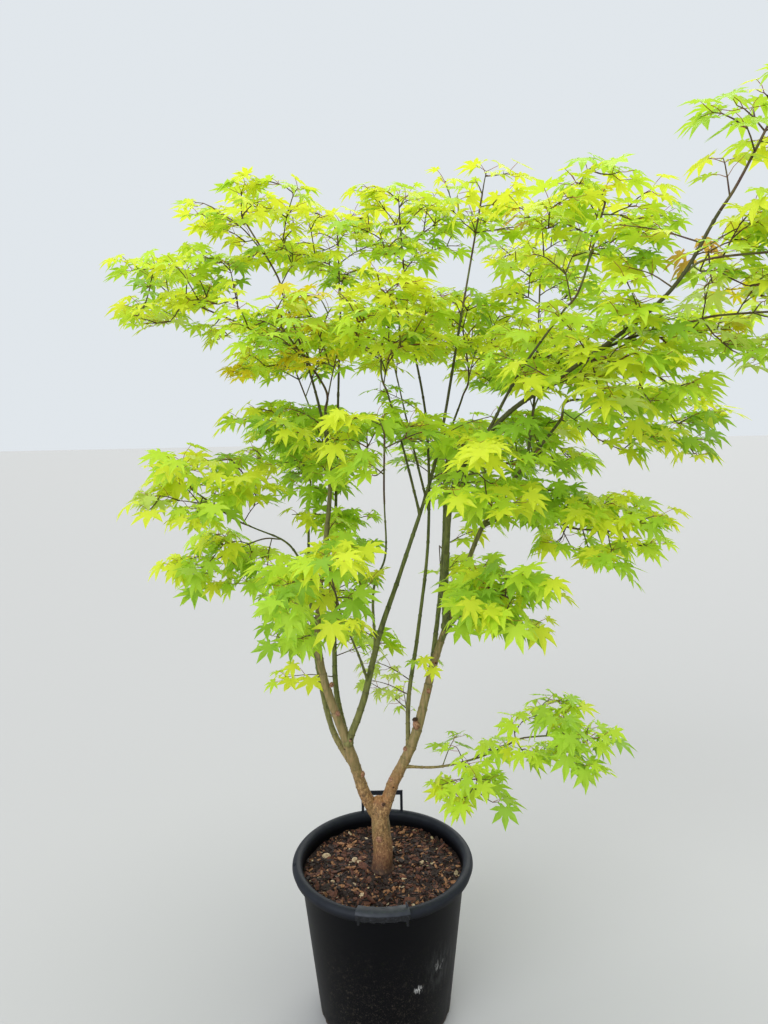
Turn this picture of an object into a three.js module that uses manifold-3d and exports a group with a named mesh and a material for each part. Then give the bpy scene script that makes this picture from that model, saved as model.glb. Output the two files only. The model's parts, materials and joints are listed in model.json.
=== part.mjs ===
// A young ornamental tree with palmate leaves, standing in a round black nursery container.
// Millimetres, +Z up. The origin is the middle of the container's flat underside, and the
// side that is seen in front faces -Y.

import * as THREE from 'three';
import { mergeVertices } from 'three/addons/utils/BufferGeometryUtils.js';
import Module from 'manifold-3d';

const wasm = await Module();
wasm.setup();

// Container
const RIM_RADIUS = 220;
const RIM_TOP = 392;
const RIM_ROLL = 12;
const LIP_DROP = 34;
const BODY_TOP_RADIUS = 201;
const BASE_RADIUS = 162;
const BASE_CHAMFER = 5;
const LIP_STEP = 3;
const LIP_HEIGHT = 8;
const LIP_RISE = 2;
const COLLAR_INSET = 4;
const WALL = 3.2;
const FLOOR = 5;
const POT_SIDES = 32;
const ROLL_STEPS = 6;
const DRAIN_COUNT = 8;
const DRAIN_WIDTH = 22;
const DRAIN_HEIGHT = 12;
const DRAIN_DEPTH = 26;
const DRAIN_SINK = 1;

// Carrying straps on the rim
const STRAP_SPAN = 112;
const STRAP_WIDTH = 12;
const STRAP_THICK = 4;
const STRAP_RISE = 58;
const STRAP_CORNER = 5;
const STRAP_LEG = 7.2;
const STRAP_CHAMFER = 3;
const STRAP_SHIFT = 3;
const BAR_SHIFT = 2;
const STRAP_TAB_DROP = 20;

// Potting soil with its bark mulch
const SOIL_LEVEL = 357;
const SOIL_RELIEF = 5;
const SOIL_RINGS = 3;
const SOIL_SEED = 11;
const SOIL_MEAN = 0.6;
const MOUND_RADIUS = 60;

// Trunk
const TRUNK_TOP = 512;
const TRUNK_SIDES = 12;
const TRUNK_RINGS = 7;
const FLARE = 5;
const FLARE_HEIGHT = 16;
const TRUNK_RADII = [26.5, 21.5];
const FORK_RINGS = 3;

// Boughs
const GAP = 0.35;
const RING_STEP = 105;
const THICK_LIMB = 9;
const THICK_SIDES = 8;
const THIN_SIDES = 6;
const TAPER_POWER = 0.8;
const PIECE_LENGTH = 40;
const PIECE_SWELL = 1.05;

// The stem of a mass, from its bough into the mass's space
const STEM_SIDES = 4;
const STEM_RINGS = 3;
const STEM_END_RADIUS = 2;
const STEM_BARE_LENGTH = 40;
const STEM_LEAD = 55;
const STEM_LEAD_SHARE = 0.35;
const STEM_TURN = 1.6;
const STEM_LEVEL = 0.4;
const STEM_BEYOND = 0.22;
const SIDE_STEM_RADIUS = 3.4;
const SIDE_STEM_SHARE = 0.7;
const STEM_NODES = 8;
const LAST_NODE = 0.97;

// Twigs and leaves
const FLATNESS = 0.66;
const GOLDEN_ANGLE = Math.PI * (3 - Math.sqrt(5));
const TIER_HEIGHTS = [0.55, -0.15, 0.2, -0.5];
const TIER_SPREAD = 0.16;
const TIER_REACH = 0.85;
const EDGE_INSET = 0.8;
const NEAREST_TIP = 0.15;
const PATH_WEIGHT = 0.45;
const TWIG_RADIUS = 2.4;
const SHORTEST_TWIG = 12;
const ELBOW_SHARE = 0.6;
const ELBOW_LIFT = 0.1;
const TWIG_TAPER = 0.35;
const TWIG_RISE = 0.12;
const LEAF_LENGTH = 128;
const LEAF_SPREAD = 0.28;
const LEAF_TURN = 4;
const HUB_CROWN = 2.5;
const HUB_KEEL = 1.5;
const VALLEY_REACH = 0.17;
const VALLEY_RISE = -0.06;
const CLEARANCE = 1.2;
const SPACE_MARGIN = 1;
const WELD = 0.02;
const SAME_PLACE = 1e-3;
const SEED_STEP = 7919;
const SEED_START = 17;
const TIP_SPACING = 100;
const FEWEST_TIPS = 2;
const TIP_TRIES = [1, 0.84, 0.68, 0.52, 0.36];
const LIFT_TRIES = [0, 26, -26];

// The lobes and notches of one leaf: angle off its middle in degrees, reach and rise, both in
// units of the leaf's length. The leaves of a spray stand in a fan round their twig's tip.
const LEAF_LOBES = [
  [-31, 0.64, -0.24],
  [-15, 0.48, -0.11],
  [0, 0.94, -0.36],
  [15, 0.48, -0.11],
  [31, 0.64, -0.24],
];
const LEAF_FAN = [-144, -72, 0, 72, 144];
const BACK_LEAF = 0.8;
const SPRAY_TILT = 0.55;
const FEWEST_LEAVES = 2;

// Each limb leaves its parent at a share of the parent's length, bends through the points and
// ends at the last one. Radii are at its start and at its tip.
const LIMBS = [
  { name: 'left_bough', from: 'trunk', at: 0.86, radii: [17.5, 4.5], cut: 0.09,
    through: [
      [-40, -2, 556], [-72, -14, 672], [-126, -32, 856], [-134, -48, 1010],
      [-100, -30, 1285], [-104, -30, 1470],
    ] },
  { name: 'right_bough', from: 'trunk', at: 0.86, radii: [17.5, 4.5], cut: 0.09,
    through: [
      [28, 0, 572], [84, 9, 690], [134, 30, 866], [186, 40, 1012],
      [262, 30, 1215], [420, -14, 1440],
    ] },
  { name: 'outer_left_stem', from: 'left_bough', at: 0.257, radii: [9, 3.6],
    through: [
      [-118, 34, 712], [-158, 88, 905], [-168, 130, 1090], [-166, 150, 1262],
    ] },
  { name: 'back_left_stem', from: 'left_bough', at: 0.34, radii: [8.5, 3.6],
    through: [
      [-102, 32, 792], [-106, 66, 930], [-96, 108, 1240], [-76, 142, 1665],
    ] },
  { name: 'front_left_stem', from: 'left_bough', at: 0.35, radii: [9.5, 3.6],
    through: [
      [-36, -34, 800], [6, -66, 972], [60, -80, 1130], [142, -28, 1370],
      [204, 0, 1690],
    ] },
  { name: 'top_left_bough', from: 'left_bough', at: 0.93, radii: [4.2, 3.2],
    through: [
      [-136, 14, 1545], [-198, 48, 1735],
    ] },
  { name: 'left_side_bough', from: 'outer_left_stem', at: 0.7, radii: [4.4, 3.2],
    through: [
      [-212, 96, 1150], [-292, 40, 1205],
    ] },
  { name: 'front_low_bough', from: 'front_left_stem', at: 0.262, radii: [4.4, 3.2],
    through: [
      [-40, -104, 930], [-62, -190, 1025],
    ] },
  { name: 'front_mid_bough', from: 'front_left_stem', at: 0.353, radii: [4.2, 3],
    through: [
      [-6, -90, 1075], [22, -134, 1165], [22, -176, 1280],
    ] },
  { name: 'front_centre_bough', from: 'front_left_stem', at: 0.7, radii: [3.8, 3],
    through: [
      [66, -92, 1385], [34, -112, 1505],
    ] },
  { name: 'long_bough', from: 'right_bough', at: 0.6, radii: [8.5, 3.8],
    through: [
      [160, -18, 1100], [176, -84, 1310], [268, -150, 1448], [368, -250, 1530],
      [500, -402, 1650], [560, -466, 1772],
    ] },
  { name: 'inner_right_stem', from: 'right_bough', at: 0.285, radii: [6, 3.4],
    through: [
      [72, 42, 775], [98, 72, 930], [128, 104, 1160], [130, 140, 1430],
      [96, 150, 1648],
    ] },
  { name: 'back_right_stem', from: 'right_bough', at: 0.47, radii: [6.5, 3.4],
    through: [
      [152, 84, 1000], [168, 122, 1150], [184, 158, 1380], [222, 176, 1500],
    ] },
  { name: 'right_low_bough', from: 'right_bough', at: 0.82, radii: [4.8, 3.2],
    through: [
      [338, -14, 1236], [412, -50, 1212],
    ] },
  { name: 'front_right_bough', from: 'right_bough', at: 0.56, radii: [4.6, 3.2],
    through: [
      [196, -52, 1020], [232, -128, 1072],
    ] },
  { name: 'low_branch', from: 'right_bough', at: 0.24, radii: [4.6, 2.8],
    through: [
      [136, -34, 634], [226, -54, 664], [296, -54, 694],
    ] },
  { name: 'back_left_bough', from: 'back_left_stem', at: 0.5, radii: [5, 3.2],
    through: [
      [-124, 200, 1140], [-122, 296, 1262],
    ] },
  { name: 'back_right_bough', from: 'back_right_stem', at: 0.2, radii: [5, 3.2],
    through: [
      [172, 216, 1110], [184, 306, 1240],
    ] },
  { name: 'back_high_bough', from: 'inner_right_stem', at: 0.65, radii: [4.2, 3.2],
    through: [
      [94, 232, 1400], [66, 300, 1540],
    ] },
  { name: 'right_high_bough', from: 'right_bough', at: 0.93, radii: [4.4, 3.2],
    through: [
      [372, 34, 1500], [386, 78, 1612],
    ] },
  { name: 'front_high_bough', from: 'long_bough', at: 0.45, radii: [4.6, 3.2],
    through: [
      [298, -180, 1540], [372, -226, 1652],
    ] },
  { name: 'far_right_bough', from: 'long_bough', at: 0.73, radii: [4, 3.2],
    through: [
      [500, -330, 1600], [576, -330, 1616],
    ] },
];

// Each foliage mass has the middle and the radius of the space it keeps to, and the bough that
// its stem grows from. At 1 the stem meets the bough's tip, below 1 it leaves the bough's side.
const MASSES = [
  { name: 'top_left', from: 'top_left_bough', at: 1, middle: [-262, 70, 1892], radius: 208 },
  { name: 'left_shoulder', from: 'top_left_bough', at: 0.6, middle: [-412, -14, 1730], radius: 205 },
  { name: 'top_back_left', from: 'back_left_stem', at: 1, middle: [-78, 190, 1872], radius: 205 },
  { name: 'left_front_upper', from: 'left_bough', at: 1, middle: [-164, -120, 1628], radius: 200 },
  { name: 'back_left_upper', from: 'back_left_stem', at: 0.78, middle: [-214, 292, 1634], radius: 200 },
  { name: 'top_centre', from: 'inner_right_stem', at: 1, middle: [74, 40, 1874], radius: 195 },
  { name: 'front_centre', from: 'front_centre_bough', at: 1, middle: [34, -132, 1650], radius: 190 },
  { name: 'umbrella', from: 'front_left_stem', at: 1, middle: [236, -6, 1904], radius: 170 },
  { name: 'centre_back', from: 'back_right_stem', at: 1, middle: [218, 172, 1666], radius: 190 },
  { name: 'back_upper', from: 'back_high_bough', at: 1, middle: [46, 376, 1672], radius: 200 },
  { name: 'top_right_back', from: 'right_high_bough', at: 1, middle: [396, 104, 1784], radius: 190 },
  { name: 'back_right_upper', from: 'right_high_bough', at: 0.55, middle: [350, 330, 1600], radius: 195 },
  { name: 'top_right_front', from: 'front_high_bough', at: 1, middle: [414, -262, 1812], radius: 200 },
  { name: 'right_centre', from: 'right_high_bough', at: 0.3, middle: [404, -70, 1582], radius: 185 },
  { name: 'right_front', from: 'long_bough', at: 0.7, middle: [470, -330, 1530], radius: 175 },
  { name: 'far_right_top', from: 'long_bough', at: 0.88, middle: [640, -452, 1708], radius: 175 },
  { name: 'top_sprig', from: 'long_bough', at: 1, middle: [606, -492, 1892], radius: 132 },
  { name: 'far_right', from: 'far_right_bough', at: 1, middle: [712, -300, 1634], radius: 205 },
  { name: 'left_mid', from: 'left_side_bough', at: 1, middle: [-374, -66, 1304], radius: 195 },
  { name: 'left_low', from: 'left_side_bough', at: 0.62, middle: [-378, 96, 1112], radius: 170 },
  { name: 'left_mid_back', from: 'outer_left_stem', at: 1, middle: [-216, 144, 1414], radius: 184 },
  { name: 'front_mid', from: 'front_mid_bough', at: 1, middle: [24, -222, 1404], radius: 170 },
  { name: 'front_right_mid', from: 'long_bough', at: 0.32, middle: [212, -226, 1344], radius: 170 },
  { name: 'right_mid_back', from: 'right_bough', at: 0.9, middle: [424, 128, 1380], radius: 180 },
  { name: 'right_low', from: 'right_low_bough', at: 1, middle: [506, -76, 1198], radius: 180 },
  { name: 'right_mid_far', from: 'right_bough', at: 1, middle: [618, -60, 1444], radius: 195 },
  { name: 'back_left_mid', from: 'back_left_bough', at: 1, middle: [-142, 372, 1368], radius: 190 },
  { name: 'back_right_mid', from: 'back_right_bough', at: 1, middle: [200, 384, 1352], radius: 190 },
  { name: 'front_low', from: 'front_low_bough', at: 1, middle: [-76, -292, 1150], radius: 195 },
  { name: 'front_right_low', from: 'front_right_bough', at: 1, middle: [262, -212, 1088], radius: 165 },
  { name: 'back_low', from: 'back_right_bough', at: 0.5, middle: [92, 300, 1040], radius: 150 },
  { name: 'low_right', from: 'low_branch', at: 1, middle: [420, -56, 716], radius: 165 },
  { name: 'low_front', from: 'low_branch', at: 0.5, middle: [204, -112, 632], radius: 130 },
];

// Finishes
const POT_FINISH = { color: 0x1d1e21, roughness: 0.55, metalness: 0 };
const SOIL_FINISH = { color: 0x4a2d22, roughness: 0.95, metalness: 0 };
const TRUNK_FINISH = { color: 0x8a6b48, roughness: 0.85, metalness: 0 };
const BOUGH_FINISH = { color: 0x6f6a3c, roughness: 0.8, metalness: 0 };
const LEAF_FINISH = { color: 0x9ccf1e, roughness: 0.6, metalness: 0 };

const X_AXIS = new THREE.Vector3(1, 0, 0);
const Y_AXIS = new THREE.Vector3(0, 1, 0);
const Z_AXIS = new THREE.Vector3(0, 0, 1);

const tree = new THREE.Group();

/** Adds one named sub-part whose geometry is already in the part's own frame. */
function addPart(name, geometry, finish) {
  const mesh = new THREE.Mesh(geometry, new THREE.MeshStandardMaterial(finish));
  mesh.name = name;
  tree.add(mesh);
}

/** A copy of a geometry with only places, whose shared corners are merged. */
function weld(geometry) {
  const bare = geometry.clone();
  bare.deleteAttribute('normal');
  bare.deleteAttribute('uv');
  return mergeVertices(bare, 1e-4);
}

/** A closed geometry as a solid that can be joined and cut. */
function solidOf(geometry) {
  const merged = weld(geometry);
  return new wasm.Manifold(new wasm.Mesh({
    numProp: 3,
    vertProperties: new Float32Array(merged.attributes.position.array),
    triVerts: new Uint32Array(merged.index.array),
  }));
}

/** Groups of whole numbers that are joined two by two. */
class Groups {
  constructor(count) {
    this.parent = Array.from({ length: count }, (_, index) => index);
  }

  of(index) {
    let root = index;
    while (this.parent[root] !== root) root = this.parent[root];
    this.parent[index] = root;
    return root;
  }

  join(first, second) {
    this.parent[this.of(first)] = this.of(second);
  }
}

/** The faces of a solid with corners that nearly coincide made one, without collapsed faces. */
function weldedFaces(mesh) {
  const corner = (index) => new THREE.Vector3().fromArray(mesh.vertProperties, 3 * index);
  const count = mesh.vertProperties.length / 3;
  const corners = new Groups(count);
  const places = new Map();
  for (let index = 0; index < count; index += 1) {
    const place = corner(index).toArray().map((value) => value.toFixed(3)).join(' ');
    if (places.has(place)) corners.join(index, places.get(place));
    else places.set(place, index);
  }
  const faces = [];
  for (let c = 0; c < mesh.triVerts.length; c += 3) {
    faces.push([...mesh.triVerts.subarray(c, c + 3)]);
  }
  for (const [a, b, c] of faces) {
    for (const [from, to] of [[a, b], [b, c], [c, a]]) {
      if (corner(from).distanceTo(corner(to)) < WELD) corners.join(from, to);
    }
  }
  return faces.map((face) => face.map((index) => corners.of(index)))
    .filter(([a, b, c]) => a !== b && b !== c && c !== a);
}

/** The largest body of a solid, its topmost faces first, without scraps or sealed hollows. */
function wholeBody(solid) {
  const mesh = solid.getMesh();
  const corner = (index) => new THREE.Vector3().fromArray(mesh.vertProperties, 3 * index);
  const faces = weldedFaces(mesh);
  const bodies = new Groups(mesh.vertProperties.length / 3);
  for (const [a, b, c] of faces) {
    bodies.join(a, b);
    bodies.join(b, c);
  }
  const volumes = new Map();
  for (const [a, b, c] of faces) {
    const volume = corner(a).dot(corner(b).cross(corner(c)));
    volumes.set(bodies.of(a), (volumes.get(bodies.of(a)) ?? 0) + volume);
  }
  const largest = [...volumes].sort((a, b) => b[1] - a[1])[0][0];
  const geometry = new THREE.BufferGeometry();
  const places = new Float32Array(mesh.vertProperties);
  geometry.setAttribute('position', new THREE.BufferAttribute(places, 3));
  const height = ([a, b, c]) => corner(a).z + corner(b).z + corner(c).z;
  const kept = faces.filter(([a]) => bodies.of(a) === largest);
  geometry.setIndex(kept.sort((first, second) => height(second) - height(first)).flat());
  return geometry;
}

/** True where each edge has exactly one face on each side once like places are made one. */
function isClosed(geometry) {
  const edges = new Map();
  const index = mergeVertices(geometry.clone(), SAME_PLACE).index.array;
  for (let c = 0; c < index.length; c += 3) {
    for (const [from, to] of [[c, c + 1], [c + 1, c + 2], [c + 2, c]]) {
      const key = `${index[from]} ${index[to]}`;
      edges.set(key, (edges.get(key) ?? 0) + 1);
    }
  }
  const turned = (key) => key.split(' ').reverse().join(' ');
  return [...edges].every(([key, count]) => count === 1 && edges.has(turned(key)));
}

/** Repeatable draws between 0 and 1 from a whole-number seed. */
function seededDraws(seed) {
  let state = seed;
  return () => {
    state = (state * 1664525 + 1013904223) % 4294967296;
    return state / 4294967296;
  };
}

/** The inner radius of the container's wall at a height. */
function innerRadius(height) {
  const share = height / (RIM_TOP - RIM_ROLL);
  return BASE_RADIUS + (BODY_TOP_RADIUS - BASE_RADIUS) * share - WALL;
}

/** Half turns of the rolled rim, as points of the section from outside to inside. */
function rimRoll() {
  const middle = new THREE.Vector2(RIM_RADIUS - RIM_ROLL, RIM_TOP - RIM_ROLL);
  const points = [];
  for (let step = 0; step <= ROLL_STEPS; step += 1) {
    const turn = (Math.PI * step) / ROLL_STEPS;
    const away = new THREE.Vector2(Math.cos(turn), Math.sin(turn)).multiplyScalar(RIM_ROLL);
    points.push(away.add(middle));
  }
  return points;
}

function buildPot() {
  const bodyUnderRim = RIM_TOP - LIP_DROP;
  const bodyRadius = innerRadius(bodyUnderRim) + WALL;
  const profile = [
    new THREE.Vector2(0, 0),
    new THREE.Vector2(BASE_RADIUS - BASE_CHAMFER, 0),
    new THREE.Vector2(BASE_RADIUS, BASE_CHAMFER),
    new THREE.Vector2(bodyRadius, bodyUnderRim),
    new THREE.Vector2(bodyRadius + LIP_STEP, bodyUnderRim + LIP_RISE),
    new THREE.Vector2(bodyRadius + LIP_STEP, bodyUnderRim + LIP_HEIGHT),
    new THREE.Vector2(RIM_RADIUS - COLLAR_INSET, bodyUnderRim + LIP_HEIGHT + LIP_RISE),
    ...rimRoll(),
    new THREE.Vector2(innerRadius(bodyUnderRim), bodyUnderRim),
    new THREE.Vector2(innerRadius(FLOOR), FLOOR),
    new THREE.Vector2(0, FLOOR),
  ];
  const shell = new THREE.LatheGeometry(profile, POT_SIDES).rotateX(Math.PI / 2);
  let solid = solidOf(shell);
  for (let index = 0; index < DRAIN_COUNT; index += 1) {
    const notch = new THREE.BoxGeometry(DRAIN_DEPTH, DRAIN_WIDTH, DRAIN_HEIGHT);
    notch.translate(BASE_RADIUS, 0, DRAIN_HEIGHT / 2 - DRAIN_SINK);
    notch.rotateZ((2 * Math.PI * (index + 0.5)) / DRAIN_COUNT);
    solid = solid.subtract(solidOf(notch));
  }
  addPart('pot', wholeBody(solid), POT_FINISH);
}

function buildSoil() {
  const draw = seededDraws(SOIL_SEED);
  const bottom = FLOOR + GAP;
  const outer = innerRadius(SOIL_LEVEL) - GAP;
  const rings = [];
  for (let ring = 0; ring < SOIL_RINGS; ring += 1) {
    rings.push(MOUND_RADIUS + ((outer - MOUND_RADIUS) * ring) / (SOIL_RINGS - 1));
  }
  const profile = [
    new THREE.Vector2(0, bottom),
    new THREE.Vector2(innerRadius(bottom) - GAP, bottom),
    ...rings.reverse().map((radius) => new THREE.Vector2(radius, SOIL_LEVEL)),
    new THREE.Vector2(0, SOIL_LEVEL),
  ];
  const soil = new THREE.LatheGeometry(profile, POT_SIDES).rotateX(Math.PI / 2);
  const merged = weld(soil);
  const place = merged.attributes.position;
  for (let index = 0; index < place.count; index += 1) {
    const radius = Math.hypot(place.getX(index), place.getY(index));
    const onTop = place.getZ(index) > SOIL_LEVEL - 1;
    if (onTop && radius > MOUND_RADIUS + 1 && radius < outer - 1) {
      place.setZ(index, SOIL_LEVEL + (draw() - SOIL_MEAN) * 2 * SOIL_RELIEF);
    }
  }
  addPart('soil', wholeBody(solidOf(merged)), SOIL_FINISH);
}

/** The strap that stands up from the far side of the rim, a flat bar on two legs. */
function buildRearHandle() {
  const half = STRAP_SPAN / 2;
  const leg = STRAP_LEG;
  const outline = new THREE.Shape();
  outline.moveTo(-half, 0);
  outline.lineTo(-half + leg, 0);
  outline.lineTo(-half + leg, STRAP_RISE - STRAP_WIDTH);
  outline.lineTo(half - leg, STRAP_RISE - STRAP_WIDTH);
  outline.lineTo(half - leg, 0);
  outline.lineTo(half, 0);
  outline.lineTo(half, STRAP_RISE - STRAP_CORNER);
  outline.quadraticCurveTo(half, STRAP_RISE, half - STRAP_CORNER, STRAP_RISE);
  outline.lineTo(-half + STRAP_CORNER, STRAP_RISE);
  outline.quadraticCurveTo(-half, STRAP_RISE, -half, STRAP_RISE - STRAP_CORNER);
  const settings = { depth: STRAP_THICK, bevelEnabled: false, curveSegments: 3 };
  const strap = new THREE.ExtrudeGeometry(outline, settings);
  const ringRadius = RIM_RADIUS - RIM_ROLL;
  const along = Math.sqrt(ringRadius ** 2 - (half - leg / 2) ** 2);
  strap.rotateX(Math.PI / 2).translate(0, along + STRAP_THICK / 2, RIM_TOP + GAP);
  addPart('rear_handle', strap, POT_FINISH);
}

/** The strap at the front, pressed down so that its bar lies on the rim and its legs hang outside. */
function buildFrontHandle() {
  const reach = RIM_ROLL + GAP;
  const outside = reach + STRAP_THICK;
  const tab = new THREE.Shape();
  tab.moveTo(-reach, reach);
  tab.lineTo(reach - STRAP_CHAMFER, reach);
  tab.lineTo(reach, reach - STRAP_CHAMFER);
  tab.lineTo(reach, -STRAP_TAB_DROP);
  tab.lineTo(outside, -STRAP_TAB_DROP);
  tab.lineTo(outside, outside - STRAP_CHAMFER);
  tab.lineTo(outside - STRAP_CHAMFER / 2, outside);
  tab.lineTo(-reach, outside);
  const leg = STRAP_LEG;
  const half = STRAP_SPAN / 2;
  const ringRadius = RIM_RADIUS - RIM_ROLL;
  const parts = [-half + leg / 2, half - leg / 2].map((side) => {
    const plate = new THREE.ExtrudeGeometry(tab, { depth: leg, bevelEnabled: false });
    plate.rotateX(Math.PI / 2).rotateZ(-Math.PI / 2);
    plate.translate(-leg / 2, 0, 0);
    const along = Math.sqrt(ringRadius ** 2 - side ** 2) + STRAP_SHIFT;
    return plate.translate(side, -along, RIM_TOP - RIM_ROLL);
  });
  const bar = new THREE.BoxGeometry(STRAP_SPAN, STRAP_WIDTH, STRAP_THICK);
  bar.translate(0, -ringRadius + BAR_SHIFT, RIM_TOP + GAP + STRAP_THICK / 2);
  const solid = parts.reduce((sum, plate) => sum.add(solidOf(plate)), solidOf(bar));
  addPart('front_handle', wholeBody(solid), POT_FINISH);
}

/** A reference direction that a curve never runs along, so that rings along it don't twist. */
function sideReference(curve) {
  const chord = curve.getPoint(1).sub(curve.getPoint(0));
  const sizes = [Math.abs(chord.x), Math.abs(chord.y), Math.abs(chord.z)];
  const least = sizes.indexOf(Math.min(...sizes));
  return [X_AXIS, Y_AXIS, Z_AXIS][least];
}

/** A closed tube along part of a curve, whose radius follows radiusAt. */
function tube(curve, start, end, radiusAt, sides, rings) {
  const reference = sideReference(curve);
  const shape = weld(new THREE.CylinderGeometry(1, 1, 1, sides, rings));
  const place = shape.attributes.position;
  const local = new THREE.Vector3();
  for (let index = 0; index < place.count; index += 1) {
    local.fromBufferAttribute(place, index);
    const share = start + (end - start) * (local.y + 0.5);
    const along = curve.getTangent(share);
    const across = new THREE.Vector3().crossVectors(reference, along).normalize();
    const third = new THREE.Vector3().crossVectors(along, across);
    const radius = radiusAt(share);
    const point = curve.getPoint(share);
    point.addScaledVector(across, local.x * radius).addScaledVector(third, -local.z * radius);
    place.setXYZ(index, point.x, point.y, point.z);
  }
  return shape;
}

/** A limb's curve, radius and number of sides, from its list entry and its parent's curve. */
function makeLimb(entry, parents) {
  const parent = parents.get(entry.from);
  const start = parent.curve.getPoint(entry.at);
  const points = [start, ...entry.through.map((point) => new THREE.Vector3(...point))];
  const curve = new THREE.CatmullRomCurve3(points, false, 'catmullrom');
  const [thick, thin] = entry.radii;
  return {
    name: entry.name,
    curve,
    cut: entry.cut ?? 0,
    length: curve.getLength(),
    radiusAt: (share) => thick + (thin - thick) * share ** TAPER_POWER,
    sides: thick > THICK_LIMB ? THICK_SIDES : THIN_SIDES,
  };
}

/** A limb as a solid from a share of its length to its tip, thicker all round by an extra. */
function limbTube(limb, from, extra = 0) {
  const rings = Math.max(2, Math.round((limb.length * (1 - from)) / RING_STEP));
  const swell = extra / Math.cos(Math.PI / limb.sides);
  const radiusAt = (share) => limb.radiusAt(share) + swell;
  return solidOf(tube(limb.curve, from, 1, radiusAt, limb.sides, rings));
}

function trunkRadius(share) {
  const height = share * (TRUNK_TOP - SOIL_LEVEL);
  const [low, high] = TRUNK_RADII;
  return low + (high - low) * share + FLARE * Math.exp(-height / FLARE_HEIGHT);
}

function trunkCurve() {
  const foot = SOIL_LEVEL + GAP;
  return new THREE.CatmullRomCurve3([
    new THREE.Vector3(0, 0, foot),
    new THREE.Vector3(0, 0, foot + 14),
    new THREE.Vector3(2, 0, foot + 48),
    new THREE.Vector3(-2, 0, foot + 100),
    new THREE.Vector3(-5, 0, TRUNK_TOP),
  ], false, 'catmullrom');
}

/** The trunk with the first stretch of the two main boughs, one solid from the soil to its fork. */
function buildTrunk(trunk, forks) {
  let solid = solidOf(tube(trunk.curve, 0, 1, trunkRadius, TRUNK_SIDES, TRUNK_RINGS));
  for (const fork of forks) {
    const root = tube(fork.curve, 0, fork.cut, fork.radiusAt, fork.sides, FORK_RINGS);
    solid = solid.add(solidOf(root));
  }
  addPart('trunk', wholeBody(solid), TRUNK_FINISH);
  return solid;
}

/** True where the boxes around two solids meet. */
function boxesMeet(first, second) {
  const a = first.boundingBox();
  const b = second.boundingBox();
  return [0, 1, 2].every((axis) => a.min[axis] < b.max[axis] && b.min[axis] < a.max[axis]);
}

/** Boughs in the order of the list, each cut back to a fine gap from every limb before it. */
function buildBoughs(limbs, trunkSolid) {
  const swollen = new Map();
  for (const limb of limbs) {
    const startGap = limb.cut > 0 ? GAP / limb.length : 0;
    let solid = limbTube(limb, limb.cut + startGap);
    for (const [name, other] of swollen) {
      if (name !== limb.name && boxesMeet(solid, other)) solid = solid.subtract(other);
    }
    if (limb.cut === 0 && boxesMeet(solid, trunkSolid)) solid = solid.subtract(trunkSolid);
    addPart(limb.name, wholeBody(solid), BOUGH_FINISH);
    swollen.set(limb.name, limbTube(limb, Math.max(0, limb.cut - startGap), GAP));
  }
  return swollen;
}

/** Straight pieces of a limb with their radii, for measuring how near something comes. */
function limbPieces(limb) {
  const count = Math.max(3, Math.ceil(limb.length / PIECE_LENGTH));
  const pieces = [];
  for (let index = 0; index < count; index += 1) {
    pieces.push({
      owner: limb.name,
      start: limb.curve.getPoint(index / count),
      end: limb.curve.getPoint((index + 1) / count),
      radius: limb.radiusAt(index / count) * PIECE_SWELL,
    });
  }
  return pieces;
}

/** The shortest distance between two straight pieces. */
function pieceDistance(p1, q1, p2, q2) {
  const d1 = q1.clone().sub(p1);
  const d2 = q2.clone().sub(p2);
  const r = p1.clone().sub(p2);
  const a = Math.max(d1.lengthSq(), 1e-9);
  const e = Math.max(d2.lengthSq(), 1e-9);
  const b = d1.dot(d2);
  const c = d1.dot(r);
  const f = d2.dot(r);
  const slant = a * e - b * b;
  let s = slant > 1e-9 ? THREE.MathUtils.clamp((b * f - c * e) / slant, 0, 1) : 0;
  const t = THREE.MathUtils.clamp((b * s + f) / e, 0, 1);
  s = THREE.MathUtils.clamp((b * t - c) / a, 0, 1);
  return p1.clone().addScaledVector(d1, s).distanceTo(p2.clone().addScaledVector(d2, t));
}

/** How far a point lies inside a mass's space, against the outer edge and each neighbour. */
function depthInSpace(mass, masses, point) {
  const squashed = (middle) => {
    const away = point.clone().sub(middle);
    return new THREE.Vector3(away.x, away.y, away.z / FLATNESS);
  };
  const own = squashed(mass.middle).lengthSq() - mass.radius ** 2;
  let depth = mass.radius - squashed(mass.middle).length();
  for (const other of masses) {
    if (other === mass) continue;
    const theirs = squashed(other.middle).lengthSq() - other.radius ** 2;
    const between = other.middle.clone().sub(mass.middle);
    between.z /= FLATNESS ** 2;
    depth = Math.min(depth, (theirs - own) / (2 * between.length()));
  }
  return depth;
}

/** The points where a mass's twigs end, spread evenly over the tiers of its space. */
function tipPoints(mass, draw) {
  const points = [];
  const count = Math.max(FEWEST_TIPS, Math.round((mass.radius / TIP_SPACING) ** 2));
  for (let index = 0; index < count; index += 1) {
    const height = TIER_HEIGHTS[index % TIER_HEIGHTS.length] + (draw() - 0.5) * TIER_SPREAD;
    const width = mass.radius * Math.sqrt(1 - height * height) - EDGE_INSET * LEAF_LENGTH;
    const away = Math.max(NEAREST_TIP, Math.sqrt((index + 0.5) / count)) * width;
    const turn = index * GOLDEN_ANGLE + mass.seed;
    points.push(new THREE.Vector3(
      mass.middle.x + Math.cos(turn) * away,
      mass.middle.y + Math.sin(turn) * away,
      mass.middle.z + height * mass.radius * FLATNESS * TIER_REACH,
    ));
  }
  return points;
}

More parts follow.
